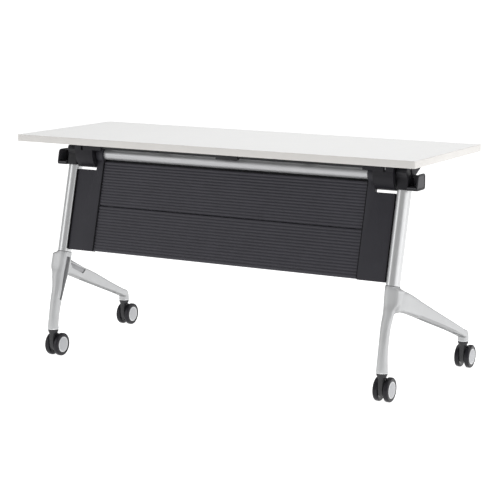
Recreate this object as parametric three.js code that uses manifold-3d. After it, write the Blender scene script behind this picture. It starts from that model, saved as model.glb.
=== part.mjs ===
// Flip top training table: a rolling table whose top turns upright about a cross tube.
// Millimetres, +Z up, +X along the table, -Y the front with the modesty panel.
import * as THREE from "three";
import { mergeVertices } from "three/addons/utils/BufferGeometryUtils.js";
import Module from "manifold-3d";

const wasm = await Module();
wasm.setup();

// Driving dimensions of the top
const TOP_LENGTH = 1400;
const TOP_DEPTH = 550;
const TOP_HEIGHT = 740;
const BOARD = 22;
const BAND = 2;
const BAND_CORNER = 4;
const FIT = 0.3;

// Driving dimensions of the leaning frame
const LEAN = THREE.MathUtils.degToRad(14.2);
const PIVOT_Y = -83;
const PIVOT_Z = 671;
const POST_X = 594;
const POST_WIDTH = 38;
const POST_DEPTH = 50;
const POST_WALL = 3;
const COLLAR_DROP = 338;
const TUBE_RADIUS = 20;
const TUBE_WALL = 2.5;

// Modesty panel, measured down the lean from the tube axis
const PANEL_HALF = 477.2;
const PANEL_FRONT = -9;
const PANEL_DEPTH = 11;
const PANEL_SKIN = 3;
const PANEL_TOP = -26;
const PANEL_SPLIT = -174;
const PANEL_SPLIT_GAP = 0.4;
const PANEL_BOTTOM = -326;
const RIBS = 15;
const RIB_RISE = 2.6;
const PLATE_INNER = 478;
const PLATE_FRONT = -12.5;
const PLATE_TOP = -57.9;
const PLATE_BOTTOM = -328.2;
const PLATE_SHEET = 4;
const ARM_WIDTH = 23;
const BOSS_RADIUS = 29;

// Hinge under each end of the top
const BARREL_IN = 504;
const BARREL_OUT = 571.5;
const BARREL_RADIUS = 48.5;
const BARREL_WALL = 3.5;
const DRUM_GAP = 0.6;
const FLANGE_IN = 471;
const FLANGE_OUT = 613;
const FLANGE_FRONT = -50;
const FLANGE_REAR = 117;
const FLANGE_SHEET = 6;
const CHEEK = 4;
const LIP_DROP = 26;

// Release bar and its paddle
const BAR_Y = -35;
const BAR_Z = 27;
const BAR_RADIUS = 8;
const BAR_HALF = 499;
const PADDLE_HALF = 39;
const PADDLE_DROP = 13.5;

// Bag hook on each post head
const HEAD_BOTTOM = -45;
const HEAD_TOP = 20;
const HEAD_SOLE = 632;
const HEAD_OUT = 613;
const HOOK_OUT = 647.5;
const HOOK_LIP = 4.5;
const HOOK_FLOOR = 631;
const HOOK_BACK = 61;
const HOOK_RISE = 49;

// Castors
const FRONT_STEM_X = 595;
const FRONT_STEM_Y = -235;
const REAR_STEM_X = 653;
const REAR_STEM_Y = 294;
const TRAIL = 22;
const WHEEL_RADIUS = 38;
const HUB_RADIUS = 26;
const WHEEL_IN = 9;
const WHEEL_OUT = 25;
const STEM_TOP = 93;
const PIN_RADIUS = 5.6;
const PIN_TOP = 122;
const AXLE_RADIUS = 4;
const AXLE_HALF = 21.5;
const HUB_SEAT = 3;
const ROUND = 24;
const FLAT = 1 / Math.cos(Math.PI / ROUND);

// Foot casting
const FOOT_SOLE = 18.3;
const LEG_SKEW = 0.3;
const RING_POINTS = 20;

// The table stands centred on its own footprint
const FOOTPRINT_REAR = REAR_STEM_Y + TRAIL + WHEEL_RADIUS;
const SHIFT_Y = (TOP_DEPTH / 2 - FOOTPRINT_REAR) / 2;

const finish = (color, metalness, roughness) => ({ color, metalness, roughness });
const LAMINATE = finish(0xf0f1f0, 0, 0.45);
const EDGE = finish(0xd8d4cd, 0, 0.5);
const ALUMINIUM = finish(0xc9cbce, 1, 0.35);
const SILVER_PAINT = finish(0xbfc2c5, 0.6, 0.4);
const DARK_GREY = finish(0x3b3c42, 0, 0.55);
const BLACK = finish(0x1b1b1d, 0, 0.5);
const STEEL = finish(0x9a9ca0, 1, 0.3);
const HUB_GREY = finish(0xb9bbbd, 0, 0.5);
const TYRE = finish(0x202022, 0, 0.7);

// A closed geometry as a solid, turned outward if its faces were laid the other way round.
function solid(geometry) {
  const g = geometry.clone();
  g.deleteAttribute("normal");
  g.deleteAttribute("uv");
  const merged = mergeVertices(g, 1e-4);
  const triVerts = new Uint32Array(merged.index.array);
  const mesh = new wasm.Mesh({ numProp: 3, vertProperties: merged.attributes.position.array, triVerts });
  const made = new wasm.Manifold(mesh);
  return made.volume() >= 0 ? made : solid(flipped(merged));
}

function flipped(geometry) {
  const g = geometry.clone();
  const index = g.index.array;
  for (let i = 0; i < index.length; i += 3) [index[i + 1], index[i + 2]] = [index[i + 2], index[i + 1]];
  return g;
}

function geometryOf(body) {
  const m = body.getMesh();
  const g = new THREE.BufferGeometry();
  g.setAttribute("position", new THREE.BufferAttribute(new Float32Array(m.vertProperties), 3));
  g.setIndex(new THREE.BufferAttribute(new Uint32Array(m.triVerts), 1));
  g.computeVertexNormals();
  return g;
}

const join = (...bodies) => bodies.reduce((a, b) => a.add(b));
const cut = (body, ...tools) => tools.reduce((a, b) => a.subtract(b), body);

// A box between two corners.
function block(x0, x1, y0, y1, z0, z1) {
  const g = new THREE.BoxGeometry(x1 - x0, y1 - y0, z1 - z0);
  g.translate((x0 + x1) / 2, (y0 + y1) / 2, (z0 + z1) / 2);
  return solid(g);
}

// A round bar along X, with a flat facet at the bottom.
function barX(radius, x0, x1, y, z, sides = ROUND) {
  const g = new THREE.CylinderGeometry(radius, radius, x1 - x0, sides);
  g.rotateY(Math.PI / sides);
  g.rotateZ(Math.PI / 2);
  g.translate((x0 + x1) / 2, y, z);
  return solid(g);
}

// A round bar along Z.
function barZ(radius, x, y, z0, z1, sides = ROUND) {
  const g = new THREE.CylinderGeometry(radius, radius, z1 - z0, sides);
  g.rotateX(Math.PI / 2);
  g.translate(x, y, (z0 + z1) / 2);
  return solid(g);
}

// An outline in Y and Z drawn out along X.
function profileX(shape, x0, x1) {
  const g = new THREE.ExtrudeGeometry(shape, { depth: x1 - x0, bevelEnabled: false, curveSegments: 6 });
  const across = new THREE.Vector3(0, 1, 0);
  const up = new THREE.Vector3(0, 0, 1);
  const along = new THREE.Vector3(1, 0, 0);
  g.applyMatrix4(new THREE.Matrix4().makeBasis(across, up, along));
  g.translate(x0, 0, 0);
  return solid(g);
}

const polygon = (points) => new THREE.Shape(points.map(([u, v]) => new THREE.Vector2(u, v)));

// A polygon whose corners are rounded to one radius.
function roundedPolygon(points, radius) {
  const shape = new THREE.Shape();
  const at = points.map(([u, v]) => new THREE.Vector2(u, v));
  at.forEach((corner, i) => {
    const before = at[(i + at.length - 1) % at.length];
    const after = at[(i + 1) % at.length];
    const a = before.clone().sub(corner).setLength(radius).add(corner);
    const b = after.clone().sub(corner).setLength(radius).add(corner);
    if (i === 0) shape.moveTo(a.x, a.y);
    else shape.lineTo(a.x, a.y);
    shape.quadraticCurveTo(corner.x, corner.y, b.x, b.y);
  });
  shape.closePath();
  return shape;
}

// A rounded rectangle in X and Y drawn up along Z.
function slabZ(halfX, halfY, corner, z0, z1) {
  const corners = [
    [-halfX, -halfY],
    [halfX, -halfY],
    [halfX, halfY],
    [-halfX, halfY],
  ];
  const shape = roundedPolygon(corners, corner);
  const g = new THREE.ExtrudeGeometry(shape, { depth: z1 - z0, bevelEnabled: false, curveSegments: 5 });
  g.translate(0, 0, z0);
  return solid(g);
}

// An obround outline, longer in Y, drawn up along Z.
function obroundZ(width, depth, z0, z1) {
  const r = width / 2;
  const straight = depth / 2 - r;
  const shape = new THREE.Shape();
  shape.absarc(0, straight, r, 0, Math.PI, false);
  shape.absarc(0, -straight, r, Math.PI, 2 * Math.PI, false);
  const g = new THREE.ExtrudeGeometry(shape, { depth: z1 - z0, bevelEnabled: false, curveSegments: 11 });
  g.translate(0, 0, z0);
  return solid(g);
}

// One ring of a lofted casting: an oval of given half sizes, tilted about X and sheared by its skew.
function ring(at, halfX, halfV, tilt, square = 2.4, skew = 0) {
  const points = [];
  for (let i = 0; i < RING_POINTS; i++) {
    const t = (2 * Math.PI * i) / RING_POINTS;
    const power = 2 / square;
    const u = halfX * Math.sign(Math.cos(t)) * Math.abs(Math.cos(t)) ** power;
    const v = halfV * Math.sign(Math.sin(t)) * Math.abs(Math.sin(t)) ** power;
    const across = u - skew * v;
    points.push(new THREE.Vector3(at[0] + across, at[1] + v * Math.cos(tilt), at[2] + v * Math.sin(tilt)));
  }
  return points;
}

// A closed skin through a row of rings of equal count.
function loft(rings) {
  const count = rings[0].length;
  const points = rings.flat();
  const first = rings[0].reduce((s, p) => s.add(p), new THREE.Vector3()).divideScalar(count);
  const last = rings.at(-1).reduce((s, p) => s.add(p), new THREE.Vector3()).divideScalar(count);
  const base = points.length;
  const index = [];
  for (let i = 0; i < count; i++) {
    const j = (i + 1) % count;
    index.push(base, j, i);
    const end = (rings.length - 1) * count;
    index.push(base + 1, end + i, end + j);
    for (let k = 0; k < rings.length - 1; k++) {
      const a = k * count;
      const b = a + count;
      index.push(a + i, a + j, b + i, a + j, b + j, b + i);
    }
  }
  const g = new THREE.BufferGeometry().setFromPoints([...points, first, last]);
  g.setIndex(index);
  return solid(g);
}

// A body built in the leaning frame of the posts, set into the upright frame of the table.
function leaned(body) {
  const m = new THREE.Matrix4().makeRotationX(-LEAN);
  const g = geometryOf(body).applyMatrix4(m);
  return solid(g.translate(0, PIVOT_Y, PIVOT_Z));
}

const moved = (body, x, y, z) => solid(geometryOf(body).translate(x, y, z));
const mirrored = (body) => solid(flipped(geometryOf(body).scale(-1, 1, 1)));

const table = new THREE.Group();
table.name = "flip_top_table";
const standing = new THREE.Group();
standing.position.y = SHIFT_Y;
table.add(standing);

function place(name, body, look) {
  const mesh = new THREE.Mesh(geometryOf(body), new THREE.MeshStandardMaterial(look));
  mesh.name = name;
  standing.add(mesh);
}

function placePair(name, body, look) {
  place(`right_${name}`, body, look);
  place(`left_${name}`, mirrored(body), look);
}

// Top board and the band round its edge
const underside = TOP_HEIGHT - BOARD;
const inset = BAND + 0.1;
const core = slabZ(TOP_LENGTH / 2 - inset, TOP_DEPTH / 2 - inset, BAND_CORNER - 1, underside, TOP_HEIGHT);
const bandOuter = slabZ(TOP_LENGTH / 2, TOP_DEPTH / 2, BAND_CORNER, underside, TOP_HEIGHT);
const holeHalfX = TOP_LENGTH / 2 - BAND;
const holeHalfY = TOP_DEPTH / 2 - BAND;
const bandInner = slabZ(holeHalfX, holeHalfY, BAND_CORNER - 1, underside - 1, TOP_HEIGHT + 1);
place("top_board", core, LAMINATE);
place("edge_band", cut(bandOuter, bandInner), EDGE);

// Posts: hollow obround extrusions between the foot collar and the head
const postTop = HEAD_BOTTOM + 12;
const postBottom = -COLLAR_DROP + FIT;
const postOuter = obroundZ(POST_WIDTH, POST_DEPTH, postBottom, postTop);
const boreWidth = POST_WIDTH - 2 * POST_WALL;
const boreDepth = POST_DEPTH - 2 * POST_WALL;
const postBore = obroundZ(boreWidth, boreDepth, postBottom - 1, postTop + 1);
const postEnd = block(POST_X - 40, POST_X + 40, -200, 50, HEAD_SOLE - FIT, HEAD_SOLE + 60);
placePair("post", cut(leaned(moved(cut(postOuter, postBore), POST_X, 0, 0)), postEnd), ALUMINIUM);

// Cross tube between the heads
const tubeEnd = POST_X + 6;
const tubeOuter = barX(TUBE_RADIUS, -tubeEnd, tubeEnd, PIVOT_Y, PIVOT_Z);
const tubeBore = barX(TUBE_RADIUS - TUBE_WALL, -tubeEnd - 1, tubeEnd + 1, PIVOT_Y, PIVOT_Z);
place("cross_tube", cut(tubeOuter, tubeBore), SILVER_PAINT);

// Post head: a cap over post and tube end, stepped at its outer side, with a bag hook
const headIn = POST_X - POST_WIDTH / 2 + 0.5;
const stepX = HEAD_OUT - 3.3;
const headHalf = (HEAD_OUT - headIn) / 2;
const capped = moved(slabZ(headHalf, POST_DEPTH / 2 + 1, 5, HEAD_BOTTOM, HEAD_TOP), headIn + headHalf, 0, 0);
const capStep = block(stepX, HEAD_OUT + 5, -POST_DEPTH, POST_DEPTH, -9, HEAD_TOP + 1);
const spigotTool = obroundZ(boreWidth - 2 * FIT, boreDepth - 2 * FIT, HEAD_BOTTOM - 40, HEAD_BOTTOM + 20);
const headFloor = block(headIn - 5, HEAD_OUT + 5, -200, 50, HEAD_SOLE - 60, HEAD_SOLE);
const cap = join(cut(leaned(cut(capped, capStep)), headFloor), leaned(moved(spigotTool, POST_X, 0, 0)));
const noseOutline = polygon([
  [PIVOT_Y - 24, PIVOT_Z - 8],
  [PIVOT_Y - 10, PIVOT_Z + 25],
  [PIVOT_Y - 31, PIVOT_Z + 25],
  [PIVOT_Y - 34.3, PIVOT_Z + 20],
  [PIVOT_Y - 37.5, PIVOT_Z + 12],
]);
const nose = profileX(noseOutline, headIn, stepX);
const tubeCollar = barX(TUBE_RADIUS + 6, BARREL_OUT + 0.8, headIn + 2, PIVOT_Y, PIVOT_Z);
const socket = barX(TUBE_RADIUS + FIT, headIn - 5, tubeEnd + FIT, PIVOT_Y, PIVOT_Z);
const hookFront = PIVOT_Y - 43;
const hookBack = hookFront + HOOK_BACK;
const hookSeat = HOOK_OUT - 1.5;
const lipOutline = roundedPolygon(
  [
    [hookFront, HOOK_FLOOR],
    [hookFront + 66, HOOK_FLOOR],
    [hookFront + 64, HOOK_FLOOR + HOOK_RISE],
    [hookFront + 6, HOOK_FLOOR + HOOK_RISE],
  ],
  9,
);
const rimOutline = roundedPolygon(
  [
    [hookFront + 5, HOOK_FLOOR + 5],
    [hookFront + 61, HOOK_FLOOR + 5],
    [hookFront + 59, HOOK_FLOOR + HOOK_RISE - 5],
    [hookFront + 10, HOOK_FLOOR + HOOK_RISE - 5],
  ],
  6,
);
const hookLip = cut(
  profileX(lipOutline, HOOK_OUT - HOOK_LIP, HOOK_OUT),
  profileX(rimOutline, HOOK_OUT - 1.2, HOOK_OUT + 1),
);
const hookFloorOutline = roundedPolygon(
  [
    [hookFront + 3, HOOK_FLOOR],
    [hookBack, HOOK_FLOOR],
    [hookBack, HOOK_FLOOR + 7],
    [hookFront + 3, HOOK_FLOOR + 7],
  ],
  3,
);
const hookFloor = profileX(hookFloorOutline, HEAD_OUT + 0.4, hookSeat);
const hookRoot = block(HEAD_OUT - 9, HEAD_OUT + 2, hookFront + 9, hookFront + 46, HEAD_SOLE, HOOK_FLOOR + 7);
const hookWall = block(HEAD_OUT + 0.8, hookSeat, hookBack - 4, hookBack, HOOK_FLOOR + 3, HOOK_FLOOR + 40);
const wallRoot = block(HEAD_OUT - 6, HEAD_OUT + 2, hookBack - 4, hookBack, HOOK_FLOOR + 3, HOOK_FLOOR + 30);
const hook = join(hookLip, hookFloor, hookRoot, hookWall, wallRoot);
placePair("head", cut(join(cap, nose, tubeCollar, hook), socket), BLACK);

// End plates: a sheet with rims, and an arm with a boss round the tube
const plateOut = POST_X - POST_WIDTH / 2 - 0.5;
const armOut = PLATE_INNER + ARM_WIDTH;
const sheetBack = PLATE_FRONT + PLATE_SHEET;
const rimBack = PLATE_FRONT + 20;
const sheet = block(PLATE_INNER, plateOut, PLATE_FRONT, sheetBack, PLATE_BOTTOM, PLATE_TOP);
const innerRim = block(PLATE_INNER, PLATE_INNER + 4, sheetBack - 1, rimBack, PLATE_BOTTOM, PLATE_TOP);
const outerRim = block(plateOut - 4, plateOut, sheetBack - 1, rimBack, PLATE_BOTTOM, PLATE_TOP);
const lowRim = block(PLATE_INNER, plateOut, sheetBack - 1, rimBack, PLATE_BOTTOM, PLATE_BOTTOM + 4);
const topRim = block(PLATE_INNER, plateOut, sheetBack - 1, rimBack, PLATE_TOP - 4, PLATE_TOP);
const arm = block(PLATE_INNER, armOut, PLATE_FRONT, rimBack, PLATE_TOP - 6, 0);
const boss = barX(BOSS_RADIUS, PLATE_INNER, armOut, 0, 0);
const tubeHole = barX(TUBE_RADIUS + FIT, PLATE_INNER - 1, armOut + 1, 0, 0);
const plate = cut(join(sheet, innerRim, outerRim, lowRim, topRim, arm, boss), tubeHole);
placePair("end_plate", leaned(plate), DARK_GREY);

// Ribbed panels: a rolled skin with a returned flange along top and bottom
function ribbedPanel(z0, z1) {
  const groove = 1.9;
  const pitch = (z1 - z0 - 2 * groove) / RIBS;
  const back = PANEL_FRONT + PANEL_DEPTH;
  const front = [[PANEL_FRONT + 2 * RIB_RISE, z0]];
  for (let i = 0; i < RIBS; i++) {
    const low = z0 + groove + i * pitch;
    front.push([PANEL_FRONT + RIB_RISE, low], [PANEL_FRONT + RIB_RISE, low + 0.22 * pitch]);
    front.push([PANEL_FRONT + 0.4, low + 0.38 * pitch], [PANEL_FRONT, low + 0.55 * pitch]);
    front.push([PANEL_FRONT + 0.4, low + 0.84 * pitch], [PANEL_FRONT + RIB_RISE, low + pitch - 0.01]);
  }
  const inside = PANEL_FRONT + RIB_RISE + PANEL_SKIN;
  const rear = [
    [PANEL_FRONT + 2 * RIB_RISE, z1],
    [back, z1],
    [back, z1 - PANEL_SKIN],
    [inside, z1 - PANEL_SKIN],
    [inside, z0 + PANEL_SKIN],
    [back, z0 + PANEL_SKIN],
    [back, z0],
  ];
  return leaned(profileX(polygon([...front, ...rear]), -PANEL_HALF, PANEL_HALF));
}
place("upper_panel", ribbedPanel(PANEL_SPLIT + PANEL_SPLIT_GAP / 2, PANEL_TOP), DARK_GREY);
place("lower_panel", ribbedPanel(PANEL_BOTTOM, PANEL_SPLIT - PANEL_SPLIT_GAP / 2), DARK_GREY);

// Hinge drum fixed on the tube inside each barrel
const drumRadius = BARREL_RADIUS - BARREL_WALL - DRUM_GAP;
const drumOuter = barX(drumRadius, BARREL_IN + 1, BARREL_OUT - 1, PIVOT_Y, PIVOT_Z);
const drumBore = barX(TUBE_RADIUS + FIT, BARREL_IN, BARREL_OUT, PIVOT_Y, PIVOT_Z);
placePair("hinge_drum", cut(drumOuter, drumBore), BLACK);

// Hinge bracket: flange under the top, barrel round the drum, front lip, outer wing, inner cheek
const flangeTop = underside - PIVOT_Z - FIT;
const flangeLow = flangeTop - FLANGE_SHEET;
const barrelShape = new THREE.Shape();
barrelShape.moveTo(-BARREL_RADIUS, flangeTop - 1);
barrelShape.lineTo(-BARREL_RADIUS, 0);
barrelShape.absarc(0, 0, BARREL_RADIUS, Math.PI, 2 * Math.PI, false);
barrelShape.lineTo(BARREL_RADIUS, flangeTop - 1);
barrelShape.closePath();
const barrel = profileX(barrelShape, BARREL_IN, BARREL_OUT);
const barrelBore = barX(BARREL_RADIUS - BARREL_WALL, BARREL_IN - 1, BARREL_OUT + 1, 0, 0);
const flange = block(FLANGE_IN, FLANGE_OUT, FLANGE_FRONT, FLANGE_REAR, flangeLow, flangeTop);
const lipLow = flangeLow - LIP_DROP;
const lipEnd = headIn - 3;
const frontLip = block(FLANGE_IN, lipEnd, FLANGE_FRONT, FLANGE_FRONT + 4, lipLow, flangeLow + 1);
const lipNotch = block(544, 548, FLANGE_FRONT - 1, FLANGE_FRONT + 5, lipLow - 1, lipLow + 14);
const cheek = profileX(
  polygon([
    [FLANGE_FRONT, lipLow],
    [BAR_Y + 14, lipLow],
    [BAR_Y + 14, flangeLow + 1],
    [FLANGE_FRONT, flangeLow + 1],
  ]),
  FLANGE_IN,
  FLANGE_IN + CHEEK,
);
const barHole = barX(BAR_RADIUS + FIT, FLANGE_IN - 1, FLANGE_IN + CHEEK + 1, BAR_Y, BAR_Z);
const wing = profileX(
  polygon([
    [FLANGE_FRONT + 20, 31],
    [3, 31],
    [3, -5],
    [21, -5],
    [FLANGE_REAR, flangeLow + 1],
    [FLANGE_FRONT + 20, flangeLow + 1],
  ]),
  stepX + 0.5,
  FLANGE_OUT,
);
const bracketWhole = join(flange, frontLip, cheek, wing, barrel);
const bracket = cut(bracketWhole, barrelBore, barHole, lipNotch);
placePair("hinge_bracket", moved(bracket, 0, PIVOT_Y, PIVOT_Z), BLACK);

// Release bar with a cam at each end that bears on the boss, two hangers and a paddle
const barY = PIVOT_Y + BAR_Y;
const barZAxis = PIVOT_Z + BAR_Z;
const camReach = Math.hypot(BAR_Y, BAR_Z) - BOSS_RADIUS - 0.4;
function cam(side) {
  const towards = Math.atan2(-BAR_Z, -BAR_Y);
  const c = Math.cos(towards);
  const s = Math.sin(towards);
  const at = (u, v) => [barY + u * c - v * s, barZAxis + u * s + v * c];
  const outline = polygon([at(0, -7), at(camReach - 3, -4), at(camReach, 0), at(camReach - 3, 4), at(0, 7)]);
  const x0 = side > 0 ? PLATE_INNER + 3 : -BAR_HALF + 2;
  return profileX(outline, x0, x0 + BAR_HALF - PLATE_INNER - 5);
}
const rod = barX(BAR_RADIUS, -BAR_HALF, BAR_HALF, barY, barZAxis, 24);
place("release_bar", join(rod, cam(1), cam(-1)), BLACK);

const sleeveRadius = BAR_RADIUS + 3;
const paddleSleeve = barX(sleeveRadius, -PADDLE_HALF, PADDLE_HALF, barY, barZAxis, 24);
const paddleBlade = profileX(
  roundedPolygon(
    [
      [barY - sleeveRadius, barZAxis],
      [barY - sleeveRadius, barZAxis - PADDLE_DROP],
      [barY - sleeveRadius + 6, barZAxis - PADDLE_DROP],
      [barY - sleeveRadius + 8, barZAxis],
    ],
    1.5,
  ),
  -PADDLE_HALF,
  PADDLE_HALF,
);
const paddleBore = barX(BAR_RADIUS + FIT, -PADDLE_HALF - 1, PADDLE_HALF + 1, barY, barZAxis, 24);
place("release_paddle", cut(join(paddleSleeve, paddleBlade), paddleBore), BLACK);

const hangerX = 260;
const hangerTop = underside - FIT;
const hangerFoot = block(hangerX - 16, hangerX + 16, barY - 22, barY + 22, hangerTop - 4, hangerTop);
const hangerBlock = block(hangerX - 8, hangerX + 8, barY - 11, barY + 11, barZAxis - 11, hangerTop - 3);
const hangerBore = barX(BAR_RADIUS + FIT, hangerX - 9, hangerX + 9, barY, barZAxis, 24);
placePair("bar_hanger", cut(join(hangerFoot, hangerBlock), hangerBore), BLACK);

// Foot casting: collar and front leg in line with the post, and a splayed rear arm
const leanY = (z) => PIVOT_Y + (z - PIVOT_Z) * Math.tan(LEAN);
const collarZ = PIVOT_Z - COLLAR_DROP * Math.cos(LEAN);
const collarY = leanY(collarZ);
const frontLeg = loft([
  ring([POST_X, collarY, collarZ], 19.8, 25.8, -LEAN, 2.5),
  ring([POST_X, leanY(collarZ - 6), collarZ - 6], 20.5, 26.5, -LEAN, 2.5),
  ring([POST_X + 8, leanY(collarZ - 14), collarZ - 14], 27.5, 27.5, -LEAN, 3.6),
  ring([POST_X + 7, leanY(280) - 1, 280], 27, 25, -LEAN, 3.4, 0.15),
  ring([POST_X, leanY(256) - 9, 256], 19, 20.5, -LEAN, 2.6, LEG_SKEW),
  ring([POST_X - 2, leanY(225) - 13, 225], 16.5, 18.5, -LEAN, 2.5, 0.7 * LEG_SKEW),
  ring([FRONT_STEM_X - 2, leanY(185) - 15, 185], 15.5, 17.8, -0.8 * LEAN, 2.4, 0.5 * LEG_SKEW),
  ring([FRONT_STEM_X - 1, FRONT_STEM_Y + 4, 140], 16, 17.6, -0.5 * LEAN, 2.2, 0.2 * LEG_SKEW),
  ring([FRONT_STEM_X, FRONT_STEM_Y, 108], 17.6, 17.8, 0, 2),
  ring([FRONT_STEM_X, FRONT_STEM_Y, STEM_TOP + FIT], FOOT_SOLE, FOOT_SOLE, 0, 2),
]);

// Rear arm: each section stands across the arm at one depth, between its top and bottom edge
const armSlope = THREE.MathUtils.degToRad(-23.5);
function armRing(y, x, top, bottom, halfX, square = 4.5) {
  const halfV = ((top - bottom) / 2) * Math.cos(armSlope);
  return ring([x, y, (top + bottom) / 2], halfX, halfV, armSlope + Math.PI / 2, square);
}
const rearArm = loft([
  armRing(-178, 605, 331, 279, 20),
  armRing(-155, 609, 330, 268, 20),
  armRing(-105, 617, 312, 249, 18),
  armRing(-50, 624, 287, 228.5, 17.5),
  armRing(60, 636, 236, 187, 17),
  armRing(180, 647, 180, 144, 16.5),
  armRing(262, 651, 142, 114.5, 16.5),
  ring([REAR_STEM_X, REAR_STEM_Y + 3, 114], 17, 16, 0.95, 2.2),
  ring([REAR_STEM_X, REAR_STEM_Y, 100], 18, 18, 0.2, 2),
  ring([REAR_STEM_X, REAR_STEM_Y, STEM_TOP + FIT], FOOT_SOLE, FOOT_SOLE, 0, 2),
]);

// Fillet in the crotch between front leg and rear arm
const crotch = new THREE.Shape();
crotch.moveTo(-206, 240);
crotch.quadraticCurveTo(-196, 272, -160, 279);
crotch.lineTo(-140, 282);
crotch.lineTo(-140, 296);
crotch.lineTo(-165, 305);
crotch.lineTo(-204, 262);
crotch.closePath();
const crotchWeb = profileX(crotch, POST_X - 13, POST_X + 1);

// Hollow along the underside of the rear arm
const armHollow = loft([
  armRing(-40, 625, 241, 212, 10),
  armRing(60, 636, 205, 172, 11.5),
  armRing(180, 647, 156, 131, 11),
  armRing(236, 650, 131, 112, 8),
]);

// Tapered recess down the inner side of the front leg, and a shallow pocket on the arm root
function innerRecess(corners, depth) {
  const face = corners.map(([x, y, z]) => new THREE.Vector3(x, y, z));
  const deep = face.map((p) => p.clone().add(new THREE.Vector3(depth, 0, 0)));
  const out = face.map((p) => p.clone().add(new THREE.Vector3(-30, 0, 0)));
  return loft([out, deep]);
}
const recessX = POST_X - 20;
const legRecess = innerRecess(
  [
    [recessX, -180, 331],
    [recessX, -160, 325],
    [recessX + 7, -213, 188],
    [recessX + 7, -221, 191],
  ],
  8,
);
const pocketX = 594.5;
const armPocket = innerRecess(
  [
    [pocketX, -112, 300],
    [pocketX + 11, -30, 261],
    [pocketX + 11, -45, 252],
    [pocketX, -110, 285],
  ],
  9,
);
const postSpigot = obroundZ(boreWidth - 2 * FIT, boreDepth - 2 * FIT, -COLLAR_DROP - 10, -COLLAR_DROP + 60);
const pinBores = [
  barZ(PIN_RADIUS + FIT, FRONT_STEM_X, FRONT_STEM_Y, STEM_TOP - 5, PIN_TOP + 2, 16),
  barZ(PIN_RADIUS + FIT, REAR_STEM_X, REAR_STEM_Y, STEM_TOP - 5, PIN_TOP + 2, 16),
];
const footWhole = join(frontLeg, rearArm, crotchWeb, leaned(moved(postSpigot, POST_X, 0, 0)));
placePair("foot", cut(footWhole, armHollow, legRecess, armPocket, ...pinBores), SILVER_PAINT);

// Castors: swivel body with pin and cap, axle, and two wheels with hub discs
function castorBody() {
  const pin = barZ(PIN_RADIUS, 0, 0, STEM_TOP - 20, PIN_TOP, 12);
  const capPlate = barZ(17, 0, 0, STEM_TOP - 9, STEM_TOP, 24);
  const neck = barZ(8, 0, 0, STEM_TOP - 22, STEM_TOP - 8, 12);
  const fender = new THREE.Shape();
  fender.moveTo(-13, STEM_TOP - 14);
  fender.lineTo(-13, WHEEL_RADIUS - 6);
  fender.lineTo(-7, WHEEL_RADIUS - 17);
  fender.lineTo(TRAIL + 12, WHEEL_RADIUS - 17);
  fender.absarc(TRAIL, WHEEL_RADIUS, 34, -0.35, 0.45 * Math.PI, false);
  fender.lineTo(13, STEM_TOP - 14);
  fender.closePath();
  const web = profileX(fender, -7.5, 7.5);
  const bore = barX(AXLE_RADIUS + FIT, -9, 9, TRAIL, WHEEL_RADIUS, 16);
  return cut(join(pin, capPlate, neck, web), bore);
}

// Wheel turned about X: a tyre with rounded shoulders and a dished outer face for the hub disc
function castorWheel() {
  const r = WHEEL_RADIUS * FLAT;
  const bore = AXLE_RADIUS + FIT;
  const seat = WHEEL_OUT - HUB_SEAT;
  const profile = [
    [bore, WHEEL_IN],
    [r - 4, WHEEL_IN],
    [r, WHEEL_IN + 4],
    [r, WHEEL_OUT - 4],
    [r - 4, WHEEL_OUT],
    [HUB_RADIUS + 0.4, WHEEL_OUT],
    [HUB_RADIUS + 0.4, seat],
    [bore, seat],
    [bore, WHEEL_IN],
  ];
  return turnedX(profile);
}

// Hub disc pressed into the dished face, closed over the axle end
function hubDisc() {
  const profile = [
    [0, WHEEL_OUT - HUB_SEAT + FIT],
    [HUB_RADIUS, WHEEL_OUT - HUB_SEAT + FIT],
    [HUB_RADIUS, WHEEL_OUT - 0.3],
    [HUB_RADIUS - 3, WHEEL_OUT + 0.9],
    [0, WHEEL_OUT + 0.9],
  ];
  return turnedX(profile);
}

// A profile of radius and place along X turned into a round solid with a flat facet below.
function turnedX(profile) {
  const g = new THREE.LatheGeometry(
    profile.map(([r, x]) => new THREE.Vector2(r, x)),
    ROUND,
  );
  g.rotateY(Math.PI / ROUND);
  g.rotateZ(-Math.PI / 2);
  return solid(g);
}

const castors = [
  ["front_right", FRONT_STEM_X, FRONT_STEM_Y],
  ["front_left", -FRONT_STEM_X, FRONT_STEM_Y],
  ["rear_right", REAR_STEM_X, REAR_STEM_Y],
  ["rear_left", -REAR_STEM_X, REAR_STEM_Y],
];
const body = castorBody();
const wheel = castorWheel();
const hub = hubDisc();
const axle = barX(AXLE_RADIUS, -AXLE_HALF, AXLE_HALF, TRAIL, WHEEL_RADIUS, 16);
for (const [name, x, y] of castors) {
  place(`${name}_castor`, moved(body, x, y, 0), BLACK);
  place(`${name}_axle`, moved(axle, x, y, 0), STEEL);
  place(`${name}_wheel_a`, moved(wheel, x, y + TRAIL, WHEEL_RADIUS), TYRE);
  place(`${name}_wheel_b`, moved(mirrored(wheel), x, y + TRAIL, WHEEL_RADIUS), TYRE);
  place(`${name}_hub_a`, moved(hub, x, y + TRAIL, WHEEL_RADIUS), HUB_GREY);
  place(`${name}_hub_b`, moved(mirrored(hub), x, y + TRAIL, WHEEL_RADIUS), HUB_GREY);
}

export default table;
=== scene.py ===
"""Flip top training table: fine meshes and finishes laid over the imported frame.

Sizes are millimetres in the frame's own axes: +X along the table, -Y to the front, +Z up.
"""

from __future__ import annotations

import logging
import math
from dataclasses import dataclass, field
from enum import Enum
from typing import Sequence

import bmesh
import bpy
from mathutils import Matrix, Vector

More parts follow.
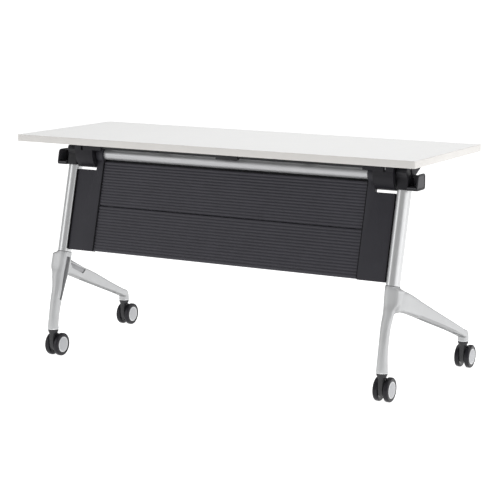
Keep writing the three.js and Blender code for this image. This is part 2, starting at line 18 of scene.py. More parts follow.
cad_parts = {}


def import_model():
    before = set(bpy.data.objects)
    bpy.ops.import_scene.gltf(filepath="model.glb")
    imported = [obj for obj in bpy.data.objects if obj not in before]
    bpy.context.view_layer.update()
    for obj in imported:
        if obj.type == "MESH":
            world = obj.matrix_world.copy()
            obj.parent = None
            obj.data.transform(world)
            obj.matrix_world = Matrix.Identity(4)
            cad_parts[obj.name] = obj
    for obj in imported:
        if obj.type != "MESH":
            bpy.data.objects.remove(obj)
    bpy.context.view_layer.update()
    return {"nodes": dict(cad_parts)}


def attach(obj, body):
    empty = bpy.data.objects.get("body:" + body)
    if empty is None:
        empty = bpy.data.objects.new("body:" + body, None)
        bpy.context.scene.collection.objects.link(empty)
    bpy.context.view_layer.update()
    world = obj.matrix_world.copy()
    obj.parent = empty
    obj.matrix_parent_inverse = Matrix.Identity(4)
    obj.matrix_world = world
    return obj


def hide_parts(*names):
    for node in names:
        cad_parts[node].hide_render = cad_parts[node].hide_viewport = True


LOG = logging.getLogger("training_table")
MM = 0.001
POST_LEAN = math.radians(14.2)
CREASE = 32.0  # least angle of an edge that counts as sharp, in degrees
WELD = 0.002  # points closer than this become one after a cut

# What every finish shares
GRAIN_OCTAVES = 3.0
MOTTLE_OCTAVES = 4.0
BUMP_STRENGTH = 0.6
# The two values below paint a highlight on rounded edges by lightening their colour where pointiness is
# high.
HIGHLIGHT_FROM_TO = (0.52, 0.60)  # pointiness where a rounded edge starts and ends to lighten
HIGHLIGHT_TINT = 2.2
# The two values below paint shade onto faces that point down by darkening their colour.
UNDER_FROM_TO = (-0.85, -0.1)  # upward share of the normal where the shade below starts and ends
UNDER_TINT = 0.2

# Sockets of a mix node for colours
MIX_SHARE, MIX_FIRST, MIX_SECOND, MIX_COLOUR = 0, 6, 7, 2

Mesh = bmesh.types.BMesh
Colour = tuple[float, float, float]
Pair = tuple[float, float]
Row = tuple[float, ...]
Outline = list[Pair]
Ring = list[Vector]


class Side(Enum):
    """An end of the table, with its sign along X."""

    RIGHT = 1
    LEFT = -1

    @property
    def word(self) -> str:
        """The end's word in the names of pieces and nodes."""
        return self.name.lower()


class Cut(Enum):
    """How one solid is put together with another."""

    JOIN = "UNION"
    CARVE = "DIFFERENCE"


class Grain(Enum):
    """How a finish's grain runs: its fineness along X, Y and Z, as shares."""

    EVEN = (1.0, 1.0, 1.0)
    ALONG_TABLE = (0.012, 1.0, 1.0)
    ALONG_POST = (1.0, 1.0, 0.012)


@dataclass(frozen=True)
class Layout:
    """Driving places of the table that several sub-assemblies share."""

    pivot_y: float = -122.5
    pivot_z: float = 671.0
    lean: float = POST_LEAN
    post_x: float = 594.0
    post_width: float = 41.0
    post_depth: float = 50.0
    collar_drop: float = 338.0
    head_sole: float = 632.0
    head_in: float = 575.5
    underside: float = 718.0
    tube_radius: float = 20.0
    boss_radius: float = 29.0
    stem_top: float = 93.0
    gap: float = 0.3

    @property
    def lean_matrix(self) -> Matrix:
        """The leaning frame of the posts, with its origin on the flip axis."""
        return Matrix.Translation((0.0, self.pivot_y, self.pivot_z)) @ Matrix.Rotation(-self.lean, 4, "X")

    @property
    def post_matrix(self) -> Matrix:
        """The leaning frame with its origin on the right post's centre line."""
        return self.lean_matrix @ Matrix.Translation((self.post_x, 0.0, 0.0))

    @property
    def pivot_matrix(self) -> Matrix:
        """The upright frame with its origin on the flip axis."""
        return Matrix.Translation((0.0, self.pivot_y, self.pivot_z))

    def line_y(self, z: float) -> float:
        """Depth of the post's leaning centre line at a height."""
        return self.pivot_y + (z - self.pivot_z) * math.tan(self.lean)


@dataclass(frozen=True)
class Finish:
    """One procedural finish: drifting colour, grain that roughens it, a painted highlight on rounded edges
    and painted shade below.
    """

    name: str
    slot: str
    colour: Colour
    roughness: float = 0.45
    metallic: float = 0.0
    specular: float = 0.5
    mottle: float = 0.04
    mottle_size: float = 60.0
    grain: Grain = Grain.EVEN
    grain_size: float = 0.7
    grain_depth: float = 0.02
    gloss_drift: float = 0.05
    # Strength of the painted highlight on rounded edges.
    edge_lift: float = 0.0
    # Strength of the painted shade on faces that point down.
    under_shade: float = 0.0
    tilt: float = 0.0

    def tint(self, share: float) -> tuple[float, float, float, float]:
        """The colour made lighter or darker by a share, with a full alpha."""
        red, green, blue = (min(1.0, channel * share) for channel in self.colour)
        return red, green, blue, 1.0

    def material(self) -> bpy.types.Material:
        """Lays out the finish's nodes.

        Returns:
            The new material.
        """
        made = bpy.data.materials.new(self.name)
        made.use_nodes = True
        nodes, links = made.node_tree.nodes, made.node_tree.links
        shader = nodes["Principled BSDF"]
        shader.inputs["Metallic"].default_value = self.metallic
        shader.inputs["Specular IOR Level"].default_value = self.specular
        place = nodes.new("ShaderNodeTexCoord")
        turn = nodes.new("ShaderNodeMapping")
        turn.inputs["Rotation"].default_value = (self.tilt, 0.0, 0.0)
        turn.inputs["Scale"].default_value = self.grain.value
        links.new(place.outputs["Object"], turn.inputs["Vector"])
        fine = self.noise(nodes, 1.0 / (self.grain_size * MM), GRAIN_OCTAVES)
        links.new(turn.outputs["Vector"], fine.inputs["Vector"])
        broad = self.noise(nodes, 1.0 / (self.mottle_size * MM), MOTTLE_OCTAVES)
        links.new(place.outputs["Object"], broad.inputs["Vector"])
        deep, pale = self.tint(1 - self.mottle), self.tint(1 + self.mottle)
        colour = self.blended(nodes, links, broad.outputs[0], deep, pale)
        # Painted highlight: rounded edges get a lighter colour.
        if self.edge_lift:
            shape = nodes.new("ShaderNodeNewGeometry")
            bend = shape.outputs["Pointiness"]
            edge = self.spread(nodes, links, bend, 0.0, self.edge_lift, *HIGHLIGHT_FROM_TO)
            colour = self.blended(nodes, links, edge, colour, self.tint(HIGHLIGHT_TINT), whole=True)
        # Painted shade: faces that point down get a darker colour.
        if self.under_shade:
            shape = nodes.new("ShaderNodeNewGeometry")
            parts = nodes.new("ShaderNodeSeparateXYZ")
            links.new(shape.outputs["Normal"], parts.inputs["Vector"])
            below = self.spread(nodes, links, parts.outputs["Z"], self.under_shade, 0.0, *UNDER_FROM_TO)
            colour = self.blended(nodes, links, below, colour, self.tint(UNDER_TINT), whole=True)
        links.new(colour, shader.inputs["Base Color"])
        dull, drift = self.roughness, self.gloss_drift
        rough = self.spread(nodes, links, fine.outputs[0], dull - drift, dull + drift)
        links.new(rough, shader.inputs["Roughness"])
        bump = nodes.new("ShaderNodeBump")
        bump.inputs["Strength"].default_value = BUMP_STRENGTH
        bump.inputs["Distance"].default_value = self.grain_depth * MM
        links.new(fine.outputs[0], bump.inputs["Height"])
        links.new(bump.outputs["Normal"], shader.inputs["Normal"])
        return made

    @staticmethod
    def noise(nodes: bpy.types.Nodes, scale: float, detail: float) -> bpy.types.Node:
        """Adds one noise texture.

        Args:
            nodes: Where it goes.
            scale: Its scale in cycles a metre.
            detail: Its octaves.

        Returns:
            The node.
        """
        made = nodes.new("ShaderNodeTexNoise")
        made.inputs["Scale"].default_value = scale
        made.inputs["Detail"].default_value = detail
        return made

    @staticmethod
    def spread(
        nodes: bpy.types.Nodes,
        links: bpy.types.NodeLinks,
        value: bpy.types.NodeSocket,
        low: float,
        high: float,
        start: float = 0.3,
        end: float = 0.7,
    ) -> bpy.types.NodeSocket:
        """Stretches a value over a new range.

        Args:
            nodes: Where the node goes.
            links: Where its links go.
            value: The socket to stretch.
            low: Result at the start.
            high: Result at the end.
            start: Value that gives low.
            end: Value that gives high.

        Returns:
            The stretched socket.
        """
        made = nodes.new("ShaderNodeMapRange")
        for label, number in (("From Min", start), ("From Max", end), ("To Min", low), ("To Max", high)):
            made.inputs[label].default_value = number
        links.new(value, made.inputs["Value"])
        return made.outputs["Result"]

    def blended(
        self,
        nodes: bpy.types.Nodes,
        links: bpy.types.NodeLinks,
        share: bpy.types.NodeSocket,
        first: bpy.types.NodeSocket | tuple[float, float, float, float],
        second: tuple[float, float, float, float],
        whole: bool = False,
    ) -> bpy.types.NodeSocket:
        """Mixes two colours by a socket.

        Args:
            nodes: Where the node goes.
            links: Where its links go.
            share: How much of the second colour shows.
            first: A colour, or a socket that gives one.
            second: The other colour.
            whole: True if the share is used as it is, without stretching.

        Returns:
            The mixed colour's socket.
        """
        mix = nodes.new("ShaderNodeMix")
        mix.data_type = "RGBA"
        links.new(share if whole else self.spread(nodes, links, share, 0.0, 1.0), mix.inputs[MIX_SHARE])
        if isinstance(first, tuple):
            mix.inputs[MIX_FIRST].default_value = first
        else:
            links.new(first, mix.inputs[MIX_FIRST])
        mix.inputs[MIX_SECOND].default_value = second
        return mix.outputs[MIX_COLOUR]


# The board's underside is darkened with painted shade.
LAMINATE = Finish(
    "white_laminate",
    "white_laminate",
    (0.86, 0.86, 0.855),
    0.45,
    mottle=0.006,
    grain_size=0.5,
    under_shade=0.5,
)
EDGE_TAPE = Finish(
    "edge_tape",
    "edge_band",
    (0.62, 0.604, 0.583),
    0.5,
    mottle=0.015,
    grain=Grain.ALONG_TABLE,
    grain_size=1.2,
)
ANODISED = Finish(
    "anodised_post",
    "satin_aluminium",
    (0.63, 0.635, 0.64),
    0.34,
    metallic=0.9,
    mottle=0.015,
    grain=Grain.ALONG_POST,
    grain_size=0.35,
    grain_depth=0.004,
    tilt=POST_LEAN,
)
SILVER_TUBE = Finish(
    "silver_tube", "silver_tube", (0.43, 0.432, 0.44), 0.34, metallic=0.55, mottle=0.02, grain_depth=0.004
)
# The casting's down-facing faces are darkened with painted shade.
SILVER_CAST = Finish(
    "silver_casting",
    "silver_casting",
    (0.505, 0.51, 0.515),
    0.42,
    metallic=0.4,
    mottle=0.02,
    under_shade=0.7,
)
RIBBED = Finish(
    "ribbed_panel",
    "ribbed_panel",
    (0.038, 0.0365, 0.045),
    0.5,
    specular=0.3,
    mottle=0.06,
    grain=Grain.ALONG_TABLE,
    grain_size=0.6,
    grain_depth=0.01,
)
PLATE_GREY = Finish(
    "end_plate_grey",
    "dark_plate",
    (0.0255, 0.0247, 0.031),
    0.55,
    specular=0.3,
    mottle=0.06,
    grain_size=0.8,
    grain_depth=0.03,
)
# Its rounded edges get a painted highlight.
BLACK_COAT = Finish(
    "black_coat",
    "black_casting",
    (0.0095, 0.0090, 0.0120),
    0.5,
    specular=0.22,
    mottle=0.08,
    grain_depth=0.03,
    edge_lift=0.3,
)
# Its rounded edges get a painted highlight.
BLACK_NYLON = Finish(
    "black_nylon",
    "black_nylon",
    (0.0105, 0.0102, 0.0125),
    0.45,
    specular=0.3,
    mottle=0.08,
    edge_lift=0.35,
)
BLACK_BAR = Finish("black_bar", "black_steel", (0.012, 0.012, 0.013), 0.5, specular=0.3, mottle=0.08)
# Its rounded edges get a painted highlight.
CASTOR_BLACK = Finish(
    "castor_black", "castor_black", (0.024, 0.024, 0.026), 0.4, specular=0.35, mottle=0.08, edge_lift=0.3
)
TREAD = Finish("soft_tread", "tyre_black", (0.0190, 0.0185, 0.0220), 0.24, specular=0.2, mottle=0.1)
HUB_GREY = Finish("hub_grey", "hub_grey", (0.44, 0.445, 0.46), 0.4, mottle=0.02, grain_depth=0.01)
BRIGHT_TRIM = Finish("bright_trim", "silver_casting", (0.82, 0.83, 0.84), 0.22, metallic=0.8, mottle=0.02)
# Pale ring round each hub: partly its own lighter trim, partly a painted highlight.
HUB_RIM_HIGHLIGHT = Finish("hub_rim_highlight", "hub_grey", (0.72, 0.73, 0.74), 0.25, metallic=0.3, mottle=0.02)
# Darker greys for the sheets on the floors of the leg's slot and the arm's pocket.
SLOT_GREY = Finish("slot_insert", "silver_casting", (0.20, 0.20, 0.21), 0.5, mottle=0.04)
POCKET_GREY = Finish("pocket_insert", "silver_casting", (0.31, 0.31, 0.32), 0.5, mottle=0.04)
# Near-black strips; the ones under the tube and beside the posts are painted shade.
DARK_STRIP = Finish("dark_strip", "black_nylon", (0.006, 0.006, 0.007), 0.6, specular=0.15, mottle=0.06)
GASKET = Finish("post_gasket", "black_nylon", (0.06, 0.06, 0.062), 0.5, specular=0.3, mottle=0.06)
# Lighter satin black for the hook's bare face; inside the hook the same colour is painted light.
HOOK_SATIN_AND_PAINTED_LIGHT = Finish("hook_satin_and_painted_light", "black_nylon", (0.042, 0.041, 0.046), 0.42, specular=0.3, mottle=0.06)
AXLE_STEEL = Finish("axle_steel", "axle_steel", (0.56, 0.57, 0.58), 0.3, metallic=1.0, mottle=0.03)
PIN_GREY = Finish("latch_pin_grey", "axle_steel", (0.20, 0.20, 0.205), 0.4, metallic=0.3, mottle=0.05)
SCREW_ZINC = Finish("screw_zinc", "axle_steel", (0.50, 0.51, 0.52), 0.34, metallic=1.0, mottle=0.05)


def rounded_outline(points: Sequence[Pair], radius: float, steps: int = 6) -> Outline:
    """Rounds every corner of a polygon with a smooth curve.

    Args:
        points: Its corners in order.
        radius: How far from a corner the curve starts.
        steps: Points on each curve.

    Returns:
        The rounded outline.
    """
    made: Outline = []
    count = len(points)
    for i, corner in enumerate(points):
        at = Vector(corner)
        ends = [Vector(points[i - 1]) - at, Vector(points[(i + 1) % count]) - at]
        start, end = (at + way.normalized() * min(radius, way.length * 0.49) for way in ends)
        for k in range(steps + 1):
            t = k / steps
            spot = start * (1 - t) ** 2 + at * (2 * t * (1 - t)) + end * t**2
            made.append((spot.x, spot.y))
    return made


def obround(width: float, depth: float, steps: int = 24) -> Outline:
    """An outline with two round ends, longer in its second direction.

    Args:
        width: Across the round ends.
        depth: From end to end.
        steps: Spaces on each round end.

    Returns:
        The outline, turning left.
    """
    radius = width / 2
    straight = depth / 2 - radius
    made: Outline = []
    for start, centre in ((0.0, straight), (math.pi, -straight)):
        for k in range(steps + 1):
            angle = start + math.pi * k / steps
            made.append((radius * math.cos(angle), centre + radius * math.sin(angle)))
    return made


def skin(rings: Sequence[Ring], looped: bool = False) -> Mesh:
    """Closes a row of rings of equal count into one surface.

    Args:
        rings: Points of each ring in order.
        looped: True if the last ring meets the first, False if both ends are capped.

    Returns:
        The closed mesh.
    """
    made = bmesh.new()
    laid = [[made.verts.new(point) for point in ring] for ring in rings]
    count = len(laid[0])
    rows = list(zip(laid, laid[1:] + laid[:1])) if looped else list(zip(laid, laid[1:]))
    for near, far in rows:
        for i in range(count):
            j = (i + 1) % count
            made.faces.new((near[i], near[j], far[j], far[i]))
    if not looped:
        made.faces.new(laid[0][::-1])
        made.faces.new(laid[-1])
    bmesh.ops.recalc_face_normals(made, faces=made.faces)
    return made


def turned(profile: Sequence[Pair], steps: int = 64, looped: bool = False) -> Mesh:
    """Turns a profile about the X axis.

    Args:
        profile: Radius and place along X of each point. An open profile is capped flat at its ends.
        steps: Facets round the axis.
        looped: True for a ring whose profile closes on itself.

    Returns:
        The turned mesh.
    """
    rings = []
    for radius, along in profile:
        angles = (2 * math.pi * k / steps for k in range(steps))
        rings.append([Vector((along, radius * math.cos(a), radius * math.sin(a))) for a in angles])
    return skin(rings, looped)


def drawn_out(outline: Sequence[Pair], low: float, high: float, rounding: float = 0.0) -> Mesh:
    """Draws an outline in Y and Z out along X from low to high, with rounded edges."""
    made = skin([[Vector((x, y, z)) for y, z in outline] for x in (low, high)])
    return softened(made, rounding)


def raised(outline: Sequence[Pair], low: float, high: float, rounding: float = 0.0) -> Mesh:
    """Draws an outline in X and Y up along Z from low to high, with rounded edges."""
    made = skin([[Vector((x, y, z)) for x, y in outline] for z in (low, high)])
    return softened(made, rounding)


def block(low: Sequence[float], high: Sequence[float], rounding: float = 0.0) -> Mesh:
    """A box between its lowest and its highest corner, with rounded edges."""
    corners = [(low[0], low[1]), (high[0], low[1]), (high[0], high[1]), (low[0], high[1])]
    return raised(corners, low[2], high[2], rounding)


def softened(mesh: Mesh, rounding: float, sharp_from: float = CREASE) -> Mesh:
    """Rounds the sharp edges of a mesh in place.

    Args:
        mesh: The mesh.
        rounding: Radius of the new edges, with nothing done at 0.
        sharp_from: Least angle between faces of an edge that is rounded, in degrees.

    Returns:
        The same mesh.
    """
    if rounding <= 0:
        return mesh
    sharp = [e for e in mesh.edges if e.is_manifold and e.calc_face_angle(0.0) > math.radians(sharp_from)]
    bmesh.ops.bevel(
        mesh, geom=sharp, offset=rounding, segments=3, profile=0.5, affect="EDGES", clamp_overlap=True
    )
    return mesh


def shifted(mesh: Mesh, matrix: Matrix) -> Mesh:
    """Moves a mesh in place by a matrix and gives it back."""
    bmesh.ops.transform(mesh, matrix=matrix, verts=mesh.verts)
    return mesh


def mirrored(mesh: Mesh) -> Mesh:
    """A copy of a mesh on the other side of X = 0.

    Args:
        mesh: The mesh.

    Returns:
        The mirrored copy.
    """
    made = mesh.copy()
    bmesh.ops.scale(made, vec=(-1.0, 1.0, 1.0), verts=made.verts)
    bmesh.ops.reverse_faces(made, faces=made.faces)
    return made


def together(meshes: Sequence[Mesh]) -> Mesh:
    """Puts separate solids into one mesh.

    Args:
        meshes: Solids that don't touch.

    Returns:
        One mesh that holds them all.
    """
    made = bmesh.new()
    for mesh in meshes:
        held = bpy.data.meshes.new("held")
        mesh.to_mesh(held)
        made.from_mesh(held)
        bpy.data.meshes.remove(held)
    return made


def loose_object(mesh: Mesh) -> bpy.types.Object:
    """Links a mesh as a short-lived object for a modifier to work on.

    Args:
        mesh: The mesh.

    Returns:
        The object.
    """
    data = bpy.data.meshes.new("loose")
    mesh.to_mesh(data)
    made = bpy.data.objects.new("loose", data)
    bpy.context.scene.collection.objects.link(made)
    return made


def worked(held: bpy.types.Object) -> Mesh:
    """Takes the mesh that an object's modifiers give, and clears the object away.

    Args:
        held: A short-lived object.

    Returns:
        Its finished mesh.
    """
    graph = bpy.context.evaluated_depsgraph_get()
    data = bpy.data.meshes.new_from_object(held.evaluated_get(graph))
    made = bmesh.new()
    made.from_mesh(data)
    bpy.data.meshes.remove(data)
    bpy.data.meshes.remove(held.data)
    return made


def fitted(base: Mesh, *steps: tuple[Cut, Mesh]) -> Mesh:
    """Joins solids to a base and carves others out of it, in order.

    Args:
        base: The first solid.
        steps: What is done, and the solid that it is done with.

    Returns:
        The finished solid.
    """
    held = loose_object(base)
    tools = []
    for way, mesh in steps:
        tool = loose_object(mesh)
        tool.hide_render = True
        step = held.modifiers.new(way.name, "BOOLEAN")
        step.operation = way.value
        step.solver = "EXACT"
        step.object = tool
        tools.append(tool)
    made = worked(held)
    for tool in tools:
        bpy.data.meshes.remove(tool.data)
    bmesh.ops.remove_doubles(made, verts=made.verts, dist=WELD)
    bmesh.ops.dissolve_degenerate(made, edges=made.edges, dist=WELD)
    return made


@dataclass
class Workshop:
    """Turns meshes into named pieces that ride on the frame's bodies."""

    nodes: dict[str, bpy.types.Object]
    paints: dict[str, bpy.types.Material] = field(default_factory=dict)

    def paint(self, finish: Finish) -> bpy.types.Material:
        """The material of a finish, made once.

        Args:
            finish: The finish.

        Returns:
            Its material.
        """
        if finish.name not in self.paints:
            self.paints[finish.name] = finish.material()
        return self.paints[finish.name]

    def piece(
        self,
        name: str,
        mesh: Mesh,
        body: str,
        finish: Finish,
        stands_for: Sequence[str] = (),
        crease: float = CREASE,
    ) -> bpy.types.Object:
        """Makes one piece of the table from a mesh in millimetres.

        Args:
            name: The piece's name.
            mesh: Its mesh, which is used up.
            body: The body that it rides on.
            finish: Its finish.
            stands_for: Nodes that it replaces.
            crease: Least angle of an edge that stays sharp in the shading, in degrees.

        Returns:
            The piece.
        """
        bmesh.ops.scale(mesh, vec=(MM, MM, MM), verts=mesh.verts)
        data = bpy.data.meshes.new(name)
        mesh.to_mesh(data)
        mesh.free()
        data.shade_smooth()
        data.set_sharp_from_angle(angle=math.radians(crease))
        data.materials.append(self.paint(finish))
        made = bpy.data.objects.new(name, data)
        bpy.context.scene.collection.objects.link(made)
        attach(made, body)
        if stands_for:
            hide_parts(*stands_for)
        LOG.info("%s rides on %s with %d faces", name, body, len(data.polygons))
        return made

    def pair(self, name: str, mesh: Mesh, body: str, finish: Finish, node: str = "") -> None:
        """Makes a piece for the right end and its mirror image for the left.

        Args:
            name: The piece's name without its end.
            mesh: The right end's mesh.
            body: The body that both ride on.
            finish: Their finish.
            node: The node's name without its end, if they replace one.
        """
        for side in Side:
            form = mesh.copy() if side is Side.RIGHT else mirrored(mesh)
            stands_for = [f"{side.word}_{node}"] if node else []
            self.piece(f"{side.word}_{name}", form, body, finish, stands_for)
        mesh.free()

    def dress(self, node: str, finish: Finish) -> None:
        """Gives a node that stays its finish.

        Args:
            node: The node's name.
            finish: Its finish.
        """
        slots = self.nodes[node].data.materials
        slots.clear()
        slots.append(self.paint(finish))
        LOG.info("%s keeps its shape", node)


@dataclass
class Tabletop:
    """The laminated board and the tape round its edge."""

    length: float = 1400.0
    depth: float = 550.0
    middle_y: float = -39.5
    top: float = 740.0
    thickness: float = 22.0
    tape: float = 2.0
    corner: float = 4.0
    arris: float = 0.9
    seam: float = 0.1
    seam_ease: float = 0.2

    def loop(self, inset: float, z: float) -> Ring:
        """One loop round the top.

        Args:
            inset: How far inside the edge it lies.
            z: Its height.

        Returns:
            Its points.
        """
        x, y = self.length / 2 - inset, self.depth / 2 - inset
        corners = [(-x, -y), (x, -y), (x, y), (-x, y)]
        radius = max(1.5, self.corner - inset)
        return [Vector((u, v + self.middle_y, z)) for u, v in rounded_outline(corners, radius)]

    def board(self) -> Mesh:
        """The board, eased a little where it meets the tape.

        Returns:
            The board.
        """
        inset = self.tape + self.seam
        low, ease = self.top - self.thickness, self.seam_ease
        lower = [(inset + ease, low), (inset, low + ease)]
        upper = [(inset, self.top - ease), (inset + ease, self.top)]
        return skin([self.loop(*row) for row in (*lower, *upper)])

    def edge(self) -> Mesh:
        """The tape, with rounded outer arrises.

        Returns:
            The tape as one ring.
        """
        low, steps = self.top - self.thickness, 5
        quarter = [math.pi / 2 * k / steps for k in range(steps + 1)]
        drop = [self.arris * (1 - math.cos(a)) for a in quarter]
        inset = [self.arris * (1 - math.sin(a)) for a in quarter]
        lower = [(inset[k], low + drop[k]) for k in range(steps + 1)]
        upper = [(inset[k], self.top - drop[k]) for k in reversed(range(steps + 1))]
        rows = [(self.tape, low), *lower, *upper, (self.tape, self.top)]
        return skin([self.loop(*row) for row in rows], looped=True)

    def build(self, shop: Workshop) -> None:
        """Makes both pieces."""
        shop.piece("laminated_board", self.board(), "top", LAMINATE, ["top_board"])
        shop.piece("edge_tape", self.edge(), "top", EDGE_TAPE, ["edge_band"])


@dataclass
class LeaningFrame:
    """Posts, cross tube and post heads with their bag hooks."""

    layout: Layout
    post_ease: float = 0.5
    gasket_proud: float = 0.5
    gasket_tall: float = 1.6
    gasket_round: float = 0.2
    tube_half: float = 600.0
    head_out: float = 613.0
    head_wall: float = 1.0
    head_corner: float = 5.0
    head_step: float = 3.3
    step_low: float = -9.0
    head_top: float = 20.0
    nose_spots: Sequence[Pair] = ((-24, -8), (-10, 25), (-31, 25), (-34.3, 20), (-37.5, 12))
    collar_radius: float = 26.0
    hook_out: float = 647.5
    hook_lip: float = 4.5
    hook_floor: float = 631.0
    hook_bed: float = 9.0
    hook_front: float = -43.0
    hook_back: float = 61.0
    hook_rise: float = 49.0
    hook_wall: float = 4.0
    lip_corner: float = 11.0
    rim_depth: float = 1.2
    rim_corner: float = 6.0
    face_sheet: float = 0.3

    @property
    def hook_y(self) -> float:
        """Depth of the hook's front."""
        return self.layout.pivot_y + self.hook_front

    @property
    def hook_top(self) -> float:
        """Height of the hook's lip."""
        return self.hook_floor + self.hook_rise

    def post(self) -> Mesh:
        """One obround post, square at its foot and flat under its head.

        Returns:
            The right post.
        """
        place = self.layout
        foot = -place.collar_drop + place.gap
        top = place.head_sole - place.gap - place.pivot_z
        outline = obround(place.post_width, place.post_depth)
        ease = self.post_ease
        eased = obround(place.post_width - 2 * ease, place.post_depth - 2 * ease)
        arris = [Vector((u, v, foot)) for u, v in eased]
        lower = [Vector((u, v, foot + ease)) for u, v in outline]
        tops = [(top + v * math.sin(place.lean)) / math.cos(place.lean) for _, v in outline]
        upper = [Vector((u, v, z)) for (u, v), z in zip(outline, tops)]
        return shifted(skin([arris, lower, upper]), place.post_matrix)

    def gasket(self) -> Mesh:
        """The thin dark ring between post and foot collar.

        Returns:
            The right gasket.
        """
        place, proud = self.layout, 2 * self.gasket_proud
        foot = -place.collar_drop + place.gap / 2
        outline = obround(place.post_width + proud, place.post_depth + proud)
        ring = raised(outline, foot, foot + self.gasket_tall, self.gasket_round)
        return shifted(ring, place.post_matrix)

    def tube(self) -> Mesh:
        """The cross tube."""
        ends = [(self.layout.tube_radius, along) for along in (-self.tube_half, self.tube_half)]
        return shifted(turned(ends), self.layout.pivot_matrix)

    def cap(self) -> Mesh:
        """The head's body over post and tube, stepped at its outer side.

        Returns:
            The right head's body.
        """
        place = self.layout
        half = place.post_depth / 2 + self.head_wall
        inner, outer, sole = place.head_in, self.head_out, place.head_sole
        corners = [(inner, -half), (outer, -half), (outer, half), (inner, half)]
        body = raised(rounded_outline(corners, self.head_corner), -80.0, self.head_top, 2.0)
        # Both cutters reach well past the body.
        step = block((outer - self.head_step, -60.0, self.step_low), (outer + 9, 60.0, 40.0), 0.8)
        below = block((inner - 20, -300.0, sole - 120), (outer + 20, 100.0, sole))
        leaned = [shifted(mesh, place.lean_matrix) for mesh in (body, step)]
        return fitted(leaned[0], (Cut.CARVE, leaned[1]), (Cut.CARVE, below))

    def hook(self) -> list[Mesh]:
        """The bag hook: a lip with a raised rim round a bare face, a floor, its root and a back wall.

        Returns:
            Its solids, which overlap.
        """
        front, floor, high = self.hook_y, self.hook_floor, self.hook_top
        back, bed, sole = front + self.hook_back, floor + self.hook_bed, self.layout.head_sole
        near, far, out = self.head_out, self.hook_out, self.hook_out - 1.5
        lip = [(front, floor), (front + 66, floor), (front + 64, high), (front + 11, high)]
        tray = [(front + 3, floor), (back, floor), (back, bed), (front + 3, bed)]
        plate = drawn_out(rounded_outline(lip, self.lip_corner), far - self.hook_lip, far, 0.8)
        sunk = drawn_out(self.face_outline(), far - self.rim_depth, far + 3)
        ledge = drawn_out(rounded_outline(tray, 3.0), near + 0.4, out)
        root = block((near - 9, front + 9, sole), (near + 2, front + 46, bed))
        inside = back - self.hook_wall
        wall = block((near + 0.8, inside, floor + 3), (out, back, bed + 33), 1.2)
        heel = block((near - 6, inside, floor + 3), (near + 2, back, bed + 25))
        return [fitted(plate, (Cut.CARVE, sunk)), ledge, root, wall, heel]

    def face_outline(self, inset: float = 0.0) -> Outline:
        """The outline of the hook's face inside its raised rim.

        Args:
            inset: How far inside the rim it lies.

        Returns:
            Its points in Y and Z.
        """
        front, low, high = self.hook_y, self.hook_floor + 6 + inset, self.hook_top - 5 - inset
        lower = [(front + 5 + inset, low), (front + 61 - inset, low)]
        upper = [(front + 59 - inset, high), (front + 14 + inset, high)]
        return rounded_outline([*lower, *upper], self.rim_corner - inset)

    def hook_face(self) -> Mesh:
        """The bare dark face inside the hook's raised rim."""
        deep = self.hook_out - self.rim_depth
        return drawn_out(self.face_outline(1.0), deep, deep + self.face_sheet)

    def hook_painted_light(self) -> Mesh:
        """The lighter sheet on the hook's floor, front edge, back wall and the lip's inner side: painted
        light on the hook's shaded inside.

        Returns:
            The right hook's liner.
        """
        front, bed = self.hook_y, self.hook_floor + self.hook_bed
        back, top = front + self.hook_back - self.hook_wall, bed + 31
        lead, high = front + 2.7, self.hook_top - 1.5
        outline = [(lead, bed - 3), (lead + 0.5, bed - 3), (lead + 0.5, bed - 0.1)]
        outline += [(back + 0.1, bed - 0.1), (back + 0.1, top), (back - 0.3, top)]
        outline += [(back - 0.3, bed + 0.3), (lead, bed + 0.3)]
        inner = self.hook_out - self.hook_lip
        tray = drawn_out(outline, self.head_out + 0.9, inner - 0.1)
        side = [(front + 3.5, bed), (back, bed), (back, high), (front + 12.5, high)]
        return fitted(tray, (Cut.JOIN, drawn_out(side, inner - 0.3, inner + 0.1)))

    def head(self) -> Mesh:
        """A whole post head.

        Returns:
            The right head.
        """
        place, ring = self.layout, self.collar_radius
        nose = drawn_out(self.nose_spots, place.head_in, self.head_out - self.head_step, 1.2)
        collar = turned([(ring, place.head_in - 3.2), (ring, place.head_in + 2)])
        hole = place.tube_radius + place.gap
        socket = turned([(hole, place.head_in - 9), (hole, self.tube_half + place.gap)])
        solids = [shifted(nose, place.pivot_matrix), shifted(collar, place.pivot_matrix), *self.hook()]
        joins = [(Cut.JOIN, mesh) for mesh in solids]
        return fitted(self.cap(), *joins, (Cut.CARVE, shifted(socket, place.pivot_matrix)))

    def build(self, shop: Workshop) -> None:
        """Makes posts, tube and heads.

        Args:
            shop: Where the pieces are made.
        """
        shop.pair("post_extrusion", self.post(), "base", ANODISED, "post")
        shop.pair("post_gasket", self.gasket(), "base", GASKET)
        shop.piece("tube", self.tube(), "base", SILVER_TUBE, ["cross_tube"])
        shop.pair("post_head", self.head(), "base", BLACK_NYLON, "head")
        shop.pair("hook_face", self.hook_face(), "base", HOOK_SATIN_AND_PAINTED_LIGHT)
        # Painted light on the shaded inside of each hook.
        shop.pair("hook_painted_light", self.hook_painted_light(), "base", HOOK_SATIN_AND_PAINTED_LIGHT)


